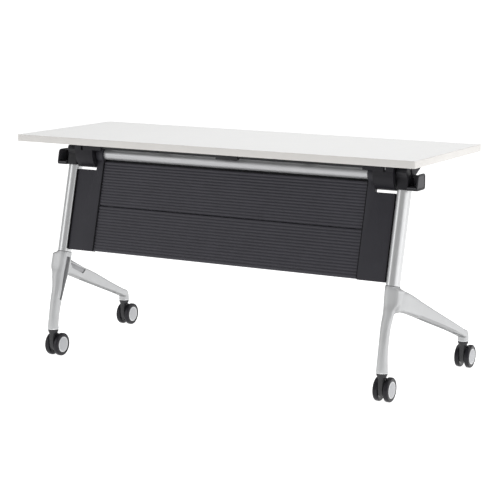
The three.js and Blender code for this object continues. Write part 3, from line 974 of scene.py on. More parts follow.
@dataclass
class ModestyPanel:
    """Two ribbed panels between end plates that hang on the cross tube."""

    layout: Layout
    half: float = 477.2
    front: float = -9.0
    depth: float = 11.0
    skin_wall: float = 3.0
    top: float = -26.0
    split: float = -174.0
    split_gap: float = 0.4
    rim: float = 1.9
    bottom: float = -326.0
    ribs: int = 15
    rib_rise: float = 1.45
    rim_dip: float = 5.2
    groove_share: float = 0.22
    rib_points: int = 9
    rib_power: float = 0.6
    plate_inner: float = 478.0
    plate_front: float = -12.5
    plate_top: float = -57.9
    plate_bottom: float = -328.2
    plate_sheet: float = 4.0
    plate_depth: float = 20.0
    plate_wall: float = 4.0
    post_room: float = 0.5
    arm_width: float = 25.0

    @property
    def plate_outer(self) -> float:
        """The end plate's outer edge beside the post."""
        return self.layout.post_x - self.layout.post_width / 2 - self.post_room

    def panel(self, low: float, high: float) -> Mesh:
        """One ribbed panel with a returned flange along top and bottom.

        Args:
            low: Its lower edge, measured up the lean.
            high: Its upper edge.

        Returns:
            The panel.
        """
        rim = self.rim
        pitch = (high - low - 2 * rim) / self.ribs
        face: Outline = [(self.front + self.rim_dip, low)]
        for rib in range(self.ribs):
            start = low + rim + rib * pitch
            face.append((self.front + self.rib_rise, start))
            for k in range(self.rib_points):
                share = k / self.rib_points
                dip = self.rib_rise * (1 - math.sin(math.pi * share) ** self.rib_power)
                along = self.groove_share + (1 - self.groove_share) * share
                face.append((self.front + dip, start + pitch * along))
        inside, back = self.front + self.rib_rise + self.skin_wall, self.front + self.depth
        face += [(self.front + self.rib_rise, high - rim), (self.front + self.rim_dip, high)]
        face += [(back, high), (back, high - self.skin_wall), (inside, high - self.skin_wall)]
        face += [(inside, low + self.skin_wall), (back, low + self.skin_wall), (back, low)]
        return shifted(drawn_out(face, -self.half, self.half), self.layout.lean_matrix)

    def end_plate(self) -> Mesh:
        """One end plate: an L-shaped front sheet, rims behind it, and a boss on the tube.

        Returns:
            The right end plate.
        """
        inner, outer, wall = self.plate_inner, self.plate_outer, self.plate_wall
        arm = inner + self.arm_width
        corners = [
            (inner, self.plate_bottom),
            (outer, self.plate_bottom),
            (outer, self.plate_top),
            (arm, self.plate_top),
            (arm, 0.0),
            (inner, 0.0),
        ]
        back, rim_back = self.plate_front + self.plate_sheet, self.plate_front + self.plate_depth
        upright = Matrix(((1, 0, 0, 0), (0, 0, -1, 0), (0, 1, 0, 0), (0, 0, 0, 1)))
        sheet = shifted(raised(rounded_outline(corners, 1.5), -back, -self.plate_front, 1.0), upright)
        strips = [
            ((inner + 0.5, self.plate_bottom + 0.5), (inner + wall, self.plate_top)),
            ((outer - wall, self.plate_bottom + 0.5), (outer - 0.5, self.plate_top - 0.5)),
            ((inner + 1, self.plate_bottom + 0.5), (outer - 1, self.plate_bottom + wall)),
            ((arm - 2, self.plate_top - wall), (outer - 1, self.plate_top - 0.5)),
            ((inner + 0.5, self.plate_top - 6), (arm - 0.5, 0.0)),
        ]
        rims = [block((a[0], back - 1, a[1]), (b[0], rim_back, b[1]), 0.4) for a, b in strips]
        boss = softened(turned([(self.layout.boss_radius, along) for along in (inner, arm)]), 1.0)
        hole = self.layout.tube_radius + self.layout.gap
        bore = turned([(hole, inner - 4), (hole, arm + 4)])
        joins = [(Cut.JOIN, mesh) for mesh in (*rims, boss)]
        return shifted(fitted(sheet, *joins, (Cut.CARVE, bore)), self.layout.lean_matrix)

    def panel_seal(self) -> Mesh:
        """A near-black strip between an end plate and the panels, in front of their ribs.

        Returns:
            The right strip.
        """
        low = (self.plate_inner - 2.6, self.plate_front + 0.1, self.bottom)
        high = (self.plate_inner - 0.1, self.front - 0.1, self.top)
        return shifted(block(low, high, 0.5), self.layout.lean_matrix)

    def tube_seal(self) -> Mesh:
        """A near-black strip between the cross tube and the upper panel: painted shade below the tube.

        Returns:
            The strip.
        """
        low = (0.3 - self.half, self.front + self.rim_dip + 0.5, self.top + 0.1)
        high = (self.half - 0.3, self.front + self.depth, -self.layout.tube_radius - 0.1)
        return shifted(block(low, high, 0.5), self.layout.lean_matrix)

    def post_seal(self) -> Mesh:
        """A near-black fin between an end plate and its post: painted shade on the post beside the plate.

        Returns:
            The right fin.
        """
        low = (self.plate_outer + 0.1, self.plate_front - 5, self.bottom)
        high = (self.plate_outer + 1.4, self.plate_front + 1, self.plate_top - 2)
        return shifted(block(low, high, 0.4), self.layout.lean_matrix)

    def build(self, shop: Workshop) -> None:
        """Makes the panels, the end plates and the near-black strips beside them, two of which are painted
        shade.

        Args:
            shop: Where the pieces are made.
        """
        gap = self.split_gap / 2
        shop.piece("upper_ribs", self.panel(self.split + gap, self.top), "base", RIBBED, ["upper_panel"])
        shop.piece("lower_ribs", self.panel(self.bottom, self.split - gap), "base", RIBBED, ["lower_panel"])
        shop.pair("panel_end", self.end_plate(), "base", PLATE_GREY, "end_plate")
        shop.pair("panel_seal", self.panel_seal(), "base", DARK_STRIP)
        # Painted shade on each post beside its end plate.
        shop.pair("post_seal", self.post_seal(), "base", DARK_STRIP)
        # Painted shade under the cross tube.
        shop.piece("tube_seal", self.tube_seal(), "base", DARK_STRIP)


@dataclass
class FlipHinge:
    """Brackets under the top with their barrels, and the release bar, its paddle and its hangers."""

    layout: Layout
    barrel: Pair = (504.0, 571.5)
    barrel_radius: float = 48.5
    barrel_wall: float = 3.5
    flange_x: Pair = (471.0, 613.0)
    flange_y: Pair = (-50.0, 117.0)
    flange_sheet: float = 6.0
    lip_drop: float = 26.0
    notch: Pair = (540.0, 548.0)
    pin_wide: float = 2.8
    cheek: float = 4.0
    wing: float = 2.8
    bar_y: float = -35.0
    bar_z: float = 27.0
    bar_radius: float = 8.0
    bar_half: float = 499.0
    cam: Pair = (481.0, 497.0)
    cam_gap: float = 0.4
    rod_facets: int = 32
    paddle_half: float = 39.0
    paddle_drop: float = 13.5
    paddle_wall: float = 3.0
    grip_pitch: int = 8
    hanger_x: float = 260.0
    screw_spots: Sequence[Pair] = ((484.0, 66.0), (484.0, 104.0), (540.0, 104.0), (598.0, 104.0))

    @property
    def flange_top(self) -> float:
        """The flange's upper face above the flip axis."""
        return self.layout.underside - self.layout.pivot_z - self.layout.gap

    @property
    def bar_hole(self) -> float:
        """Radius of the holes that the release bar turns in."""
        return self.bar_radius + self.layout.gap

    @property
    def to_bar(self) -> Matrix:
        """The move from the flip axis to the release bar."""
        return Matrix.Translation((0.0, self.bar_y, self.bar_z))

    @property
    def flange_low(self) -> float:
        """The flange's lower face above the flip axis."""
        return self.flange_top - self.flange_sheet

    def shell(self) -> Mesh:
        """The barrel's outside: round below the axis and straight up to the flange.

        Returns:
            The solid barrel.
        """
        radius, steps = self.barrel_radius, 40
        arc = [math.pi + math.pi * k / steps for k in range(steps + 1)]
        outline = [(radius * math.cos(a), radius * math.sin(a)) for a in arc]
        outline += [(radius, self.flange_top - 1), (-radius, self.flange_top - 1)]
        return drawn_out(outline, *self.barrel, 1.0)

    def bracket(self) -> Mesh:
        """One whole bracket.

        Returns:
            The right bracket.
        """
        (left, right), (front, rear) = self.flange_x, self.flange_y
        low, lip_low = self.flange_low, self.flange_low - self.lip_drop
        lip_end = self.layout.head_in - 3
        flange = block((left, front, low), (right, rear, self.flange_top), 1.2)
        lip = block((left, front, lip_low), (lip_end, front + 4, low + 2), 0.8)
        notch = block((self.notch[0], front - 2, lip_low - 2), (self.notch[1], front + 6, lip_low + 14))
        cheek = block((left, front, lip_low), (left + self.cheek, self.bar_y + 14, low + 2), 0.8)
        hole = turned([(self.bar_hole, left - 3), (self.bar_hole, left + self.cheek + 3)])
        start = front + 20
        spots = [(start, 31), (-11, 31), (3, 8), (3, -5), (21, -5)]
        spots += [(rear - 1, low + 1), (start, low + 1)]
        wing = drawn_out(spots, right - self.wing, right, 0.5)
        bore_radius = self.barrel_radius - self.barrel_wall
        bore = turned([(bore_radius, self.barrel[0] - 3), (bore_radius, self.barrel[1] + 3)])
        made = fitted(
            flange,
            (Cut.JOIN, lip),
            (Cut.JOIN, cheek),
            (Cut.JOIN, wing),
            (Cut.JOIN, self.shell()),
            (Cut.CARVE, bore),
            (Cut.CARVE, shifted(hole, self.to_bar)),
            (Cut.CARVE, notch),
        )
        return shifted(made, self.layout.pivot_matrix)

    def latch_pin(self) -> Mesh:
        """The steel pin that shows in the notch of the right bracket's lip.

        Returns:
            The pin.
        """
        right, front = self.notch[1] - 0.6, self.flange_y[0]
        low = self.flange_low - self.lip_drop
        start, end = (right - self.pin_wide, front + 0.6, low + 4.5), (right, front + 3.6, low + 14.5)
        return shifted(block(start, end, 0.4), self.layout.pivot_matrix)

    def screws(self) -> Mesh:
        """Pan head screws under one bracket's flange, each with a crossed slot.

        Returns:
            The right bracket's screws.
        """
        made = []
        dome = [(4.6, 0.0), (4.6, 0.9), (4.0, 1.8), (2.6, 2.4)]
        for x, y in self.screw_spots:
            head = turned(dome, 24)
            slots = [block((1.3, -a, -b), (3.0, a, b)) for a, b in ((2.4, 0.45), (0.45, 2.4))]
            head = fitted(head, *((Cut.CARVE, slot) for slot in slots))
            down = Matrix.Translation((x, y, self.flange_low)) @ Matrix.Rotation(math.pi / 2, 4, "Y")
            made.append(shifted(head, self.layout.pivot_matrix @ down))
        return together(made)

    def bar(self) -> Mesh:
        """The release bar with a cam at each end.

        Returns:
            The bar.
        """
        ease, half, r = 1.0, self.bar_half, self.bar_radius
        rod = [(r - ease, -half), (r, -half + ease), (r, half - ease), (r - ease, half)]
        reach = math.hypot(self.bar_y, self.bar_z) - self.layout.boss_radius - self.cam_gap
        turn = math.atan2(-self.bar_z, -self.bar_y)
        tooth = [(0, -7), (reach - 3, -4), (reach, 0), (reach - 3, 4), (0, 7)]
        spin = Matrix.Rotation(turn, 4, "X")
        near, far = self.cam
        cams = [shifted(drawn_out(tooth, *span, 0.6), spin) for span in ((near, far), (-far, -near))]
        made = fitted(turned(rod, self.rod_facets), *((Cut.JOIN, cam) for cam in cams))
        return shifted(made, self.layout.pivot_matrix @ self.to_bar)

    def paddle(self) -> Mesh:
        """The paddle: a sleeve on the bar with a blade that has finger ribs.

        Returns:
            The paddle.
        """
        sleeve, half, drop = self.bar_radius + self.paddle_wall, self.paddle_half, self.paddle_drop
        tube = softened(turned([(sleeve, -half), (sleeve, half)], self.rod_facets), 0.8)
        spots = [(-sleeve, 0), (-sleeve, -drop), (6 - sleeve, -drop), (8 - sleeve, 0)]
        blade = drawn_out(rounded_outline(spots, 1.5), -half, half, 0.6)
        starts = range(-4 * self.grip_pitch, 4 * self.grip_pitch, self.grip_pitch)
        grips = [block((x, 5.4 - sleeve, -12.0), (x + 3, 6.6 - sleeve, -3.0), 0.4) for x in starts]
        bore = turned([(self.bar_hole, -half - 4), (self.bar_hole, half + 4)], self.rod_facets)
        joins = [(Cut.JOIN, mesh) for mesh in (blade, *grips)]
        made = fitted(tube, *joins, (Cut.CARVE, bore))
        return shifted(made, self.layout.pivot_matrix @ self.to_bar)

    def hanger(self) -> Mesh:
        """One hanger that carries the bar under the top.

        Returns:
            The right hanger.
        """
        x, top = self.hanger_x, self.flange_top
        y, z = self.bar_y, self.bar_z
        foot = block((x - 16, y - 22, top - 4), (x + 16, y + 22, top), 1.0)
        drop = block((x - 8, y - 11, z - 6.5), (x + 8, y + 11, top - 2), 1.5)
        bore = turned([(self.bar_hole, x - 12), (self.bar_hole, x + 12)], self.rod_facets)
        made = fitted(foot, (Cut.JOIN, drop), (Cut.CARVE, shifted(bore, self.to_bar)))
        return shifted(made, self.layout.pivot_matrix)

    def build(self, shop: Workshop) -> None:
        """Makes the hinge pieces.

        Args:
            shop: Where the pieces are made.
        """
        shop.pair("flip_bracket", self.bracket(), "top", BLACK_COAT, "hinge_bracket")
        shop.piece("right_latch_pin", self.latch_pin(), "top", PIN_GREY)
        shop.pair("bracket_screws", self.screws(), "top", SCREW_ZINC)
        shop.piece("release_rod", self.bar(), "release", BLACK_BAR, ["release_bar"])
        shop.piece("finger_paddle", self.paddle(), "release", BLACK_NYLON, ["release_paddle"])
        shop.pair("rod_hanger", self.hanger(), "top", BLACK_NYLON, "bar_hanger")
        for side in Side:
            shop.dress(f"{side.word}_hinge_drum", BLACK_NYLON)


@dataclass(frozen=True)
class Station:
    """One section of the foot casting."""

    x: float
    y: float
    z: float
    half_x: float
    half_v: float
    tilt: float
    square: float = 2.4
    skew: float = 0.0

    def blend(self, others: Sequence[Station], t: float) -> Station:
        """A station on the smooth curve from this one to the next.

        Args:
            others: The station before this one, the next, and the one after that.
            t: How far along, from 0 to 1.

        Returns:
            The station between.
        """
        before, ahead, after = others
        made = []
        for label in self.__dataclass_fields__:
            a, b, c, d = (getattr(s, label) for s in (before, self, ahead, after))
            bend = 2 * a - 5 * b + 4 * c - d
            twist = 3 * b - a - 3 * c + d
            made.append(b + 0.5 * t * (c - a + t * (bend + t * twist)))
        return Station(*made)

    def ring(self, count: int = 44) -> Ring:
        """The section's outline.

        Args:
            count: Its points.

        Returns:
            The points.
        """
        made = []
        for k in range(count):
            angle = 2 * math.pi * k / count
            cos, sin = math.cos(angle), math.sin(angle)
            u = self.half_x * math.copysign(abs(cos) ** (2 / self.square), cos)
            v = self.half_v * math.copysign(abs(sin) ** (2 / self.square), sin)
            y, z = self.y + v * math.cos(self.tilt), self.z + v * math.sin(self.tilt)
            made.append(Vector((self.x + u - self.skew * v, y, z)))
        return made


@dataclass
class Foot:
    """A silver casting: front leg in line with the post, and a splayed rear arm."""

    layout: Layout
    front_stem: Pair = (595.0, -274.5)
    rear_stem: Pair = (653.0, 254.5)
    stem_spare: float = 14.0
    sole: float = 18.3
    leg_skew: float = 0.3
    arm_slope: float = math.radians(-23.5)
    arm_rows: Sequence[Row] = (
        (-217.5, 607, 338, 262.5, 22),
        (-194.5, 611, 334, 261.5, 22),
        (-144.5, 617.5, 313.5, 249.5, 18.5),
        (-89.5, 624, 286, 230.5, 17.5),
        (20.5, 636, 233.5, 189.5, 17),
        (140.5, 647, 178.5, 146, 16.5),
        (222.5, 651, 142, 114.5, 16.5),
    )
    ramp_rows: Sequence[Row] = (
        (-181.0, 591.5, 326.5, 16.5),
        (-144.5, 599.0, 312.0, 14.0),
        (-89.5, 606.5, 286.0, 9.0),
        (20.5, 619.0, 233.5, 1.0),
        (60.0, 622.5, 215.5, 0.2),
    )
    hollow_rows: Sequence[Row] = (
        (-79.5, 625, 241, 212, 10),
        (20.5, 636, 205, 172, 11.5),
        (140.5, 647, 156, 131, 11),
        (196.5, 650, 131, 112, 8),
    )
    web_spots: Sequence[Pair] = (
        (-245.5, 240),
        (-232, 268),
        (-199.5, 279),
        (-179.5, 282),
        (-179.5, 296),
        (-204.5, 305),
        (-243.5, 262),
    )
    ramp_wide: float = 26.0
    ramp_past: float = 6.0
    chamfer: Pair = (6.5, 9.0)
    chamfer_shares: Sequence[float] = (0.0, 0.0, 0.05, 0.9, 1.0, 0.8, 0.55)
    steps: int = 5
    ring_proud: float = 0.35
    ring_tall: float = 2.2
    slot_deep: float = 8.0
    pocket_deep: float = 6.0
    mouth_out: float = -30.0
    insert: Pair = (-1.0, 0.5)
    voxel: float = 1.7
    smooth_turns: int = 7
    crotch: tuple[float, float, float] = (618.0, -222.0, 272.0)
    crotch_reach: float = 27.0
    crotch_turns: int = 60

    @property
    def stem_heights(self) -> Pair:
        """Heights of a sole and of the section below it, which the sole's cut takes off."""
        return self.layout.stem_top, self.layout.stem_top - self.stem_spare

    @property
    def collar_z(self) -> float:
        """Height of the collar's middle."""
        return self.layout.pivot_z - self.layout.collar_drop * math.cos(self.layout.lean)

    def leg_stations(self) -> list[Station]:
        """Sections of the front leg, from above the collar to below the sole.

        Returns:
            The sections in order.
        """
        lean, line, top = self.layout.lean, self.layout.line_y, self.collar_z
        x, skew = self.layout.post_x, self.leg_skew
        stem_x, stem_y = self.front_stem
        return [
            Station(x, line(top + 14), top + 14, 21.2, 25.8, -lean, 2.4),
            Station(x, line(top), top, 21.2, 25.8, -lean, 2.5),
            Station(x, line(top - 2), top - 2, 21.6, 26.3, -lean, 2.5),
            Station(x + 8, line(top - 9), top - 9, 27.3, 27.5, -lean, 3.6),
            Station(x + 8, line(top - 18), top - 18, 27.5, 27.5, -lean, 3.6),
            Station(x + 7, line(292) - 1, 292, 27, 25.5, -lean, 3.4, 0.12),
            Station(x + 1, line(274) - 8.5, 274, 20, 21.5, -lean, 2.8, 0.35),
            Station(x, line(256) - 10.5, 256, 18.3, 20.3, -lean, 2.6, 0.34),
            Station(x - 2, line(225) - 13, 225, 16.5, 18.5, -lean, 2.5, 0.7 * skew),
            Station(stem_x - 2, line(185) - 15, 185, 15.5, 17.8, -0.8 * lean, 2.4, 0.5 * skew),
            Station(stem_x - 1, stem_y + 4.5, 140, 15.8, 17.4, -0.5 * lean, 2.2, 0.2 * skew),
            Station(stem_x, stem_y, 108, 17.6, 17.8, 0, 2),
            *(Station(stem_x, stem_y, z, self.sole, self.sole, 0, 2) for z in self.stem_heights),
        ]

    def arm_station(self, y: float, x: float, top: float, bottom: float, half: float) -> Station:
        """A section across the arm at a depth, from its middle, its edges and its half width."""
        tall = (top - bottom) / 2 * math.cos(self.arm_slope)
        return Station(x, y, (top + bottom) / 2, half, tall, self.arm_slope + math.pi / 2, 7.0)

    def arm_stations(self) -> list[Station]:
        """Sections of the rear arm, from inside the collar to below the sole.

        Returns:
            The sections in order.
        """
        x, y = self.rear_stem
        return [
            *(self.arm_station(*row) for row in self.arm_rows),
            Station(x, y, 114, 17, 15.5, 0.95, 2.2),
            Station(x, y, 100, 18, 18, 0.2, 2),
            *(Station(x, y, z, self.sole, self.sole, 0, 2) for z in self.stem_heights),
        ]

    def knuckle(self) -> Mesh:
        """The round block under the arm's end.

        Returns:
            The block.
        """
        x, y = self.rear_stem
        lower = [(z, self.sole) for z in reversed(self.stem_heights)]
        return self.limb([Station(x, y, z, r, r, 0, 2) for z, r in (*lower, (108, 17.6), (115, 16.5))])

    def limb(self, stations: Sequence[Station]) -> Mesh:
        """A smooth closed skin through sections.

        Args:
            stations: The sections in order.

        Returns:
            The skin.
        """
        rings = []
        last = len(stations) - 1
        for i in range(last):
            others = (stations[max(i - 1, 0)], stations[i + 1], stations[min(i + 2, last)])
            rings += [stations[i].blend(others, k / self.steps).ring() for k in range(self.steps)]
        return skin([*rings, stations[last].ring()])

    def web(self) -> Mesh:
        """The fillet in the crotch between leg and arm."""
        x = self.layout.post_x
        return drawn_out(self.web_spots, x - 13, x + 1)

    def eased(self, made: Mesh) -> Mesh:
        """Rounds the casting further where leg and arm part.

        Args:
            made: The smoothed casting.

        Returns:
            The same mesh.
        """
        middle = Vector(self.crotch)
        near = [vert for vert in made.verts if (vert.co - middle).length < self.crotch_reach]
        ways = {f"use_axis_{axis}": True for axis in "xyz"}
        for _ in range(self.crotch_turns):
            bmesh.ops.smooth_vert(made, verts=near, factor=0.5, **ways)
        return made

    def hollow(self) -> Mesh:
        """The channel along the underside of the arm."""
        return self.limb([self.arm_station(*row) for row in self.hollow_rows])

    def strip(self) -> Mesh:
        """What is cut off the arm's lower outer edge to leave a slanted strip.

        Returns:
            The cutter.
        """
        rings = []
        for (y, x, _, bottom, half), share in zip(self.arm_rows, self.chamfer_shares):
            if share:
                out, run, rise = x + half, self.chamfer[0] * share, self.chamfer[1] * share
                low = bottom - rise
                spots = [(out - 2 * run, low), (out + 9, low - 9), (out + run, bottom + 2 * rise)]
                rings.append([Vector((u, y, v)) for u, v in spots])
        return skin(rings)

    def ramp(self) -> Mesh:
        """What is cut off the arm's root so that its top falls to the inner side.

        Returns:
            The cutter.
        """
        rings = []
        for y, inner, top, drop in self.ramp_rows:
            fall, past = drop / self.ramp_wide, self.ramp_past
            low = (inner - past, top - drop - past * fall)
            high = (inner + self.ramp_wide + past, top + past * fall)
            rings.append([Vector((u, y, v)) for u, v in (low, high, (inner - past, top + 20.0))])
        return skin(rings)

    def slot_mouth(self) -> Ring:
        """Corners of the tapered slot down the leg's inner side.

        Returns:
            The corners in order.
        """
        x = self.layout.post_x
        upper = [(x - 20, -219.5, 331), (x - 20, -199.5, 325)]
        lower = [(x - 13, -252.5, 188), (x - 13, -260.5, 191)]
        return [Vector(spot) for spot in (*upper, *lower)]

    def pocket_mouth(self) -> Ring:
        """Corners of the shallow pocket on the arm's root."""
        spots = [(592.0, -169.0, 301), (607.2, -56.5, 257.5), (607.2, -73.5, 246), (592.0, -166.0, 285)]
        return [Vector(spot) for spot in spots]

    def layer(self, mouth: Ring, start: float, end: float, shrink: float = 0.0) -> Mesh:
        """A flat layer with the outline of a recess's mouth.

        Args:
            mouth: Corners of the mouth.
            start: Where the layer starts along X from the mouth.
            end: Where it ends.
            shrink: Share by which its outline is drawn in.

        Returns:
            The layer.
        """
        middle = sum(mouth, Vector()) / len(mouth)
        drawn = [spot.lerp(middle, shrink) for spot in mouth]
        return skin([[spot + Vector((move, 0, 0)) for spot in drawn] for move in (start, end)])

    def sole_rings(self) -> Mesh:
        """The bright turned edge at each sole of one foot.

        Returns:
            Both rings of the right foot.
        """
        low, r = self.layout.stem_top + self.layout.gap, self.sole + self.ring_proud
        high = low + self.ring_tall
        profile = [(r - 2, low), (r - 0.3, low), (r, low + 0.3)]
        profile += [(r, low + 1.6), (r - 0.5, high), (r - 2, high)]
        made = []
        for x, y in (self.front_stem, self.rear_stem):
            upright = Matrix.Translation((x, y, 0.0)) @ Matrix.Rotation(-math.pi / 2, 4, "Y")
            made.append(shifted(turned(profile, looped=True), upright))
        return together(made)

    def casting(self) -> Mesh:
        """One whole foot, smoothed as a casting and then cut to its seats.

        Returns:
            The right foot.
        """
        rough = fitted(
            self.limb(self.leg_stations()),
            (Cut.JOIN, self.limb(self.arm_stations())),
            (Cut.JOIN, self.knuckle()),
            (Cut.JOIN, self.web()),
            (Cut.CARVE, self.ramp()),
        )
        held = loose_object(rough)
        even = held.modifiers.new("even", "REMESH")
        even.mode = "VOXEL"
        even.voxel_size = self.voxel
        ease = held.modifiers.new("ease", "SMOOTH")
        ease.iterations = self.smooth_turns
        # Both cutters reach well past the foot.
        floor = block((500.0, -500.0, 0.0), (800.0, 500.0, self.layout.stem_top + self.layout.gap))
        drop = -self.layout.collar_drop
        above = shifted(block((500.0, -200.0, drop), (800.0, 40.0, drop + 90)), self.layout.lean_matrix)
        return fitted(
            self.eased(worked(held)),
            (Cut.CARVE, floor),
            (Cut.CARVE, above),
            (Cut.CARVE, self.hollow()),
            (Cut.CARVE, self.strip()),
            (Cut.CARVE, self.layer(self.slot_mouth(), self.mouth_out, self.slot_deep)),
            (Cut.CARVE, self.layer(self.pocket_mouth(), self.mouth_out, self.pocket_deep)),
        )

    def build(self, shop: Workshop) -> None:
        """Makes both feet.

        Args:
            shop: Where the pieces are made.
        """
        # Darker grey sheets on the floors of the leg's slot and of the arm's pocket.
        slot = self.layer(self.slot_mouth(), *(self.slot_deep + move for move in self.insert), 0.01)
        pocket = self.layer(self.pocket_mouth(), *(self.pocket_deep + move for move in self.insert), 0.08)
        shop.pair("foot_casting", self.casting(), "base", SILVER_CAST, "foot")
        shop.pair("leg_slot_insert", slot, "base", SLOT_GREY)
        shop.pair("arm_pocket_insert", pocket, "base", POCKET_GREY)
        shop.pair("sole_rings", self.sole_rings(), "base", BRIGHT_TRIM)


@dataclass
class Castor:
    """A twin wheel castor: swivel body, axle, and two wheels with hub discs."""

    layout: Layout
    name: str
    x: float
    y: float
    trail: float = 22.0
    radius: float = 38.0
    hub: float = 26.0
    wheel: Pair = (9.0, 25.0)
    cap: float = 17.4
    shoulder: float = 4.5
    axle_hole: float = 4.3
    wheel_facets: int = 72
    hood_half: float = 7.4
    hood_reach: float = 33.5
    hood_arc: Pair = (-0.35, 0.45 * math.pi)

    def at(self, trail: float, height: float) -> Matrix:
        """The move to a place at a trail behind the swivel and a height."""
        return Matrix.Translation((self.x, self.y + trail, height))

    @staticmethod
    def handed(mesh: Mesh, side: Side) -> Mesh:
        """A right wheel's mesh, or its mirror image for the left."""
        return mesh if side is Side.RIGHT else mirrored(mesh)

    def tyre(self, side: Side) -> Mesh:
        """One wheel: a tread with round shoulders and a dished outer face.

        Args:
            side: The castor's side that it rolls on.

        Returns:
            The wheel round its own centre.
        """
        inner, outer = self.wheel
        bend, steps = self.shoulder, 6
        quarter = [math.pi / 2 * k / steps for k in range(steps + 1)]
        r = self.radius
        rim = [(r - bend * (1 - math.sin(a)), inner + bend * (1 - math.cos(a))) for a in quarter]
        far = [(r - bend * (1 - math.cos(a)), outer - bend * (1 - math.sin(a))) for a in quarter]
        crease = [(33.2, outer), (32.8, outer - 0.5), (32.0, outer - 0.5), (31.6, outer)]
        lip = [(self.hub + 1.4, outer), (self.hub + 0.7, outer - 0.7), (self.hub + 0.5, outer - 3)]
        bore = [(self.axle_hole, outer - 3), (self.axle_hole, inner + 1)]
        back = [(24.0, inner + 1), (26.0, inner)]
        profile = [bore[1], *back, *rim, *far, *crease, *lip, bore[0]]
        return self.handed(turned(profile, self.wheel_facets, looped=True), side)

    def disc(self, side: Side) -> Mesh:
        """One hub disc, a little domed with a fine ring.

        Args:
            side: The castor's side that it is on.

        Returns:
            The disc round the wheel's centre.
        """
        out, r = self.wheel[1], self.hub
        profile = [(r - 0.3, out - 2.7), (r - 0.3, out - 0.2), (r - 3.0, out + 0.1), (r - 3.6, out + 0.4)]
        profile += [(12.0, out + 0.8), (2.0, out + 0.9)]
        return self.handed(turned(profile, self.wheel_facets), side)

    def rim_ring(self, side: Side) -> Mesh:
        """The ring round a hub disc, pale partly as its own trim and partly as a painted highlight.

        Args:
            side: The castor's side that it is on.

        Returns:
            The ring round the wheel's centre.
        """
        out, r = self.wheel[1], self.hub
        profile = [(r - 3.0, out - 1), (r, out - 1), (r, out - 0.2)]
        profile += [(r - 0.7, out + 0.5), (r - 2.0, out + 0.6), (r - 3.0, out + 0.3)]
        return self.handed(turned(profile, self.wheel_facets, looped=True), side)

    def body(self) -> Mesh:
        """The swivel body: a cap under the foot, a waist, and a hood between the wheels.

        Returns:
            The body round the swivel's axis.
        """
        half = self.hood_half
        tops = [(0.0, self.cap, self.cap, 2.0), (5.0, self.cap, self.cap, 2.0), (9.0, 15.6, 16.4, 2.1)]
        tops += [(13.0, 12.4, 15.0, 2.3), (16.0, 9.0, 14.4, 2.6)]
        tops += [(19.0, 7.6, 14.0, 3.0), (26.0, half, 13.0, 3.0)]
        seat = self.layout.stem_top
        waist = skin([Station(0, 0, seat - d, a, b, 0.0, s).ring(48) for d, a, b, s in tops])
        reach, steps = self.hood_reach, 14
        start, end = self.hood_arc
        arc = [start + (end - start) * k / steps for k in range(steps + 1)]
        hood = [(self.trail + reach * math.cos(a), self.radius + reach * math.sin(a)) for a in arc]
        low = self.radius - 17
        spots = [(-13, seat - 14), (-13, low + 24), (-11.5, low + 13), (-7, low + 4)]
        spots += [(-1, low), (self.trail + 12, low)]
        web = drawn_out([*spots, *hood, (13, seat - 14)], -half, half, 1.2)
        bore = turned([(self.axle_hole, -12.0), (self.axle_hole, 12.0)], 24)
        axle = Matrix.Translation((0, self.trail, self.radius))
        return fitted(waist, (Cut.JOIN, web), (Cut.CARVE, shifted(bore, axle)))

    def build(self, shop: Workshop) -> None:
        """Makes the castor's pieces.

        Args:
            shop: Where the pieces are made.
        """
        swivel = f"{self.name}_swivel"
        body = shifted(self.body(), self.at(0.0, 0.0))
        shop.piece(f"{self.name}_castor_body", body, swivel, CASTOR_BLACK, [f"{self.name}_castor"])
        shop.dress(f"{self.name}_axle", AXLE_STEEL)
        for side, letter in ((Side.RIGHT, "a"), (Side.LEFT, "b")):
            roller = f"{self.name}_roller_{letter}"
            place = self.at(self.trail, self.radius)
            tyre, disc = shifted(self.tyre(side), place), shifted(self.disc(side), place)
            shop.piece(f"{self.name}_tyre_{letter}", tyre, roller, TREAD, [f"{self.name}_wheel_{letter}"])
            shop.piece(f"{self.name}_disc_{letter}", disc, roller, HUB_GREY, [f"{self.name}_hub_{letter}"])
            shop.piece(f"{self.name}_rim_{letter}", shifted(self.rim_ring(side), place), roller, HUB_RIM_HIGHLIGHT)


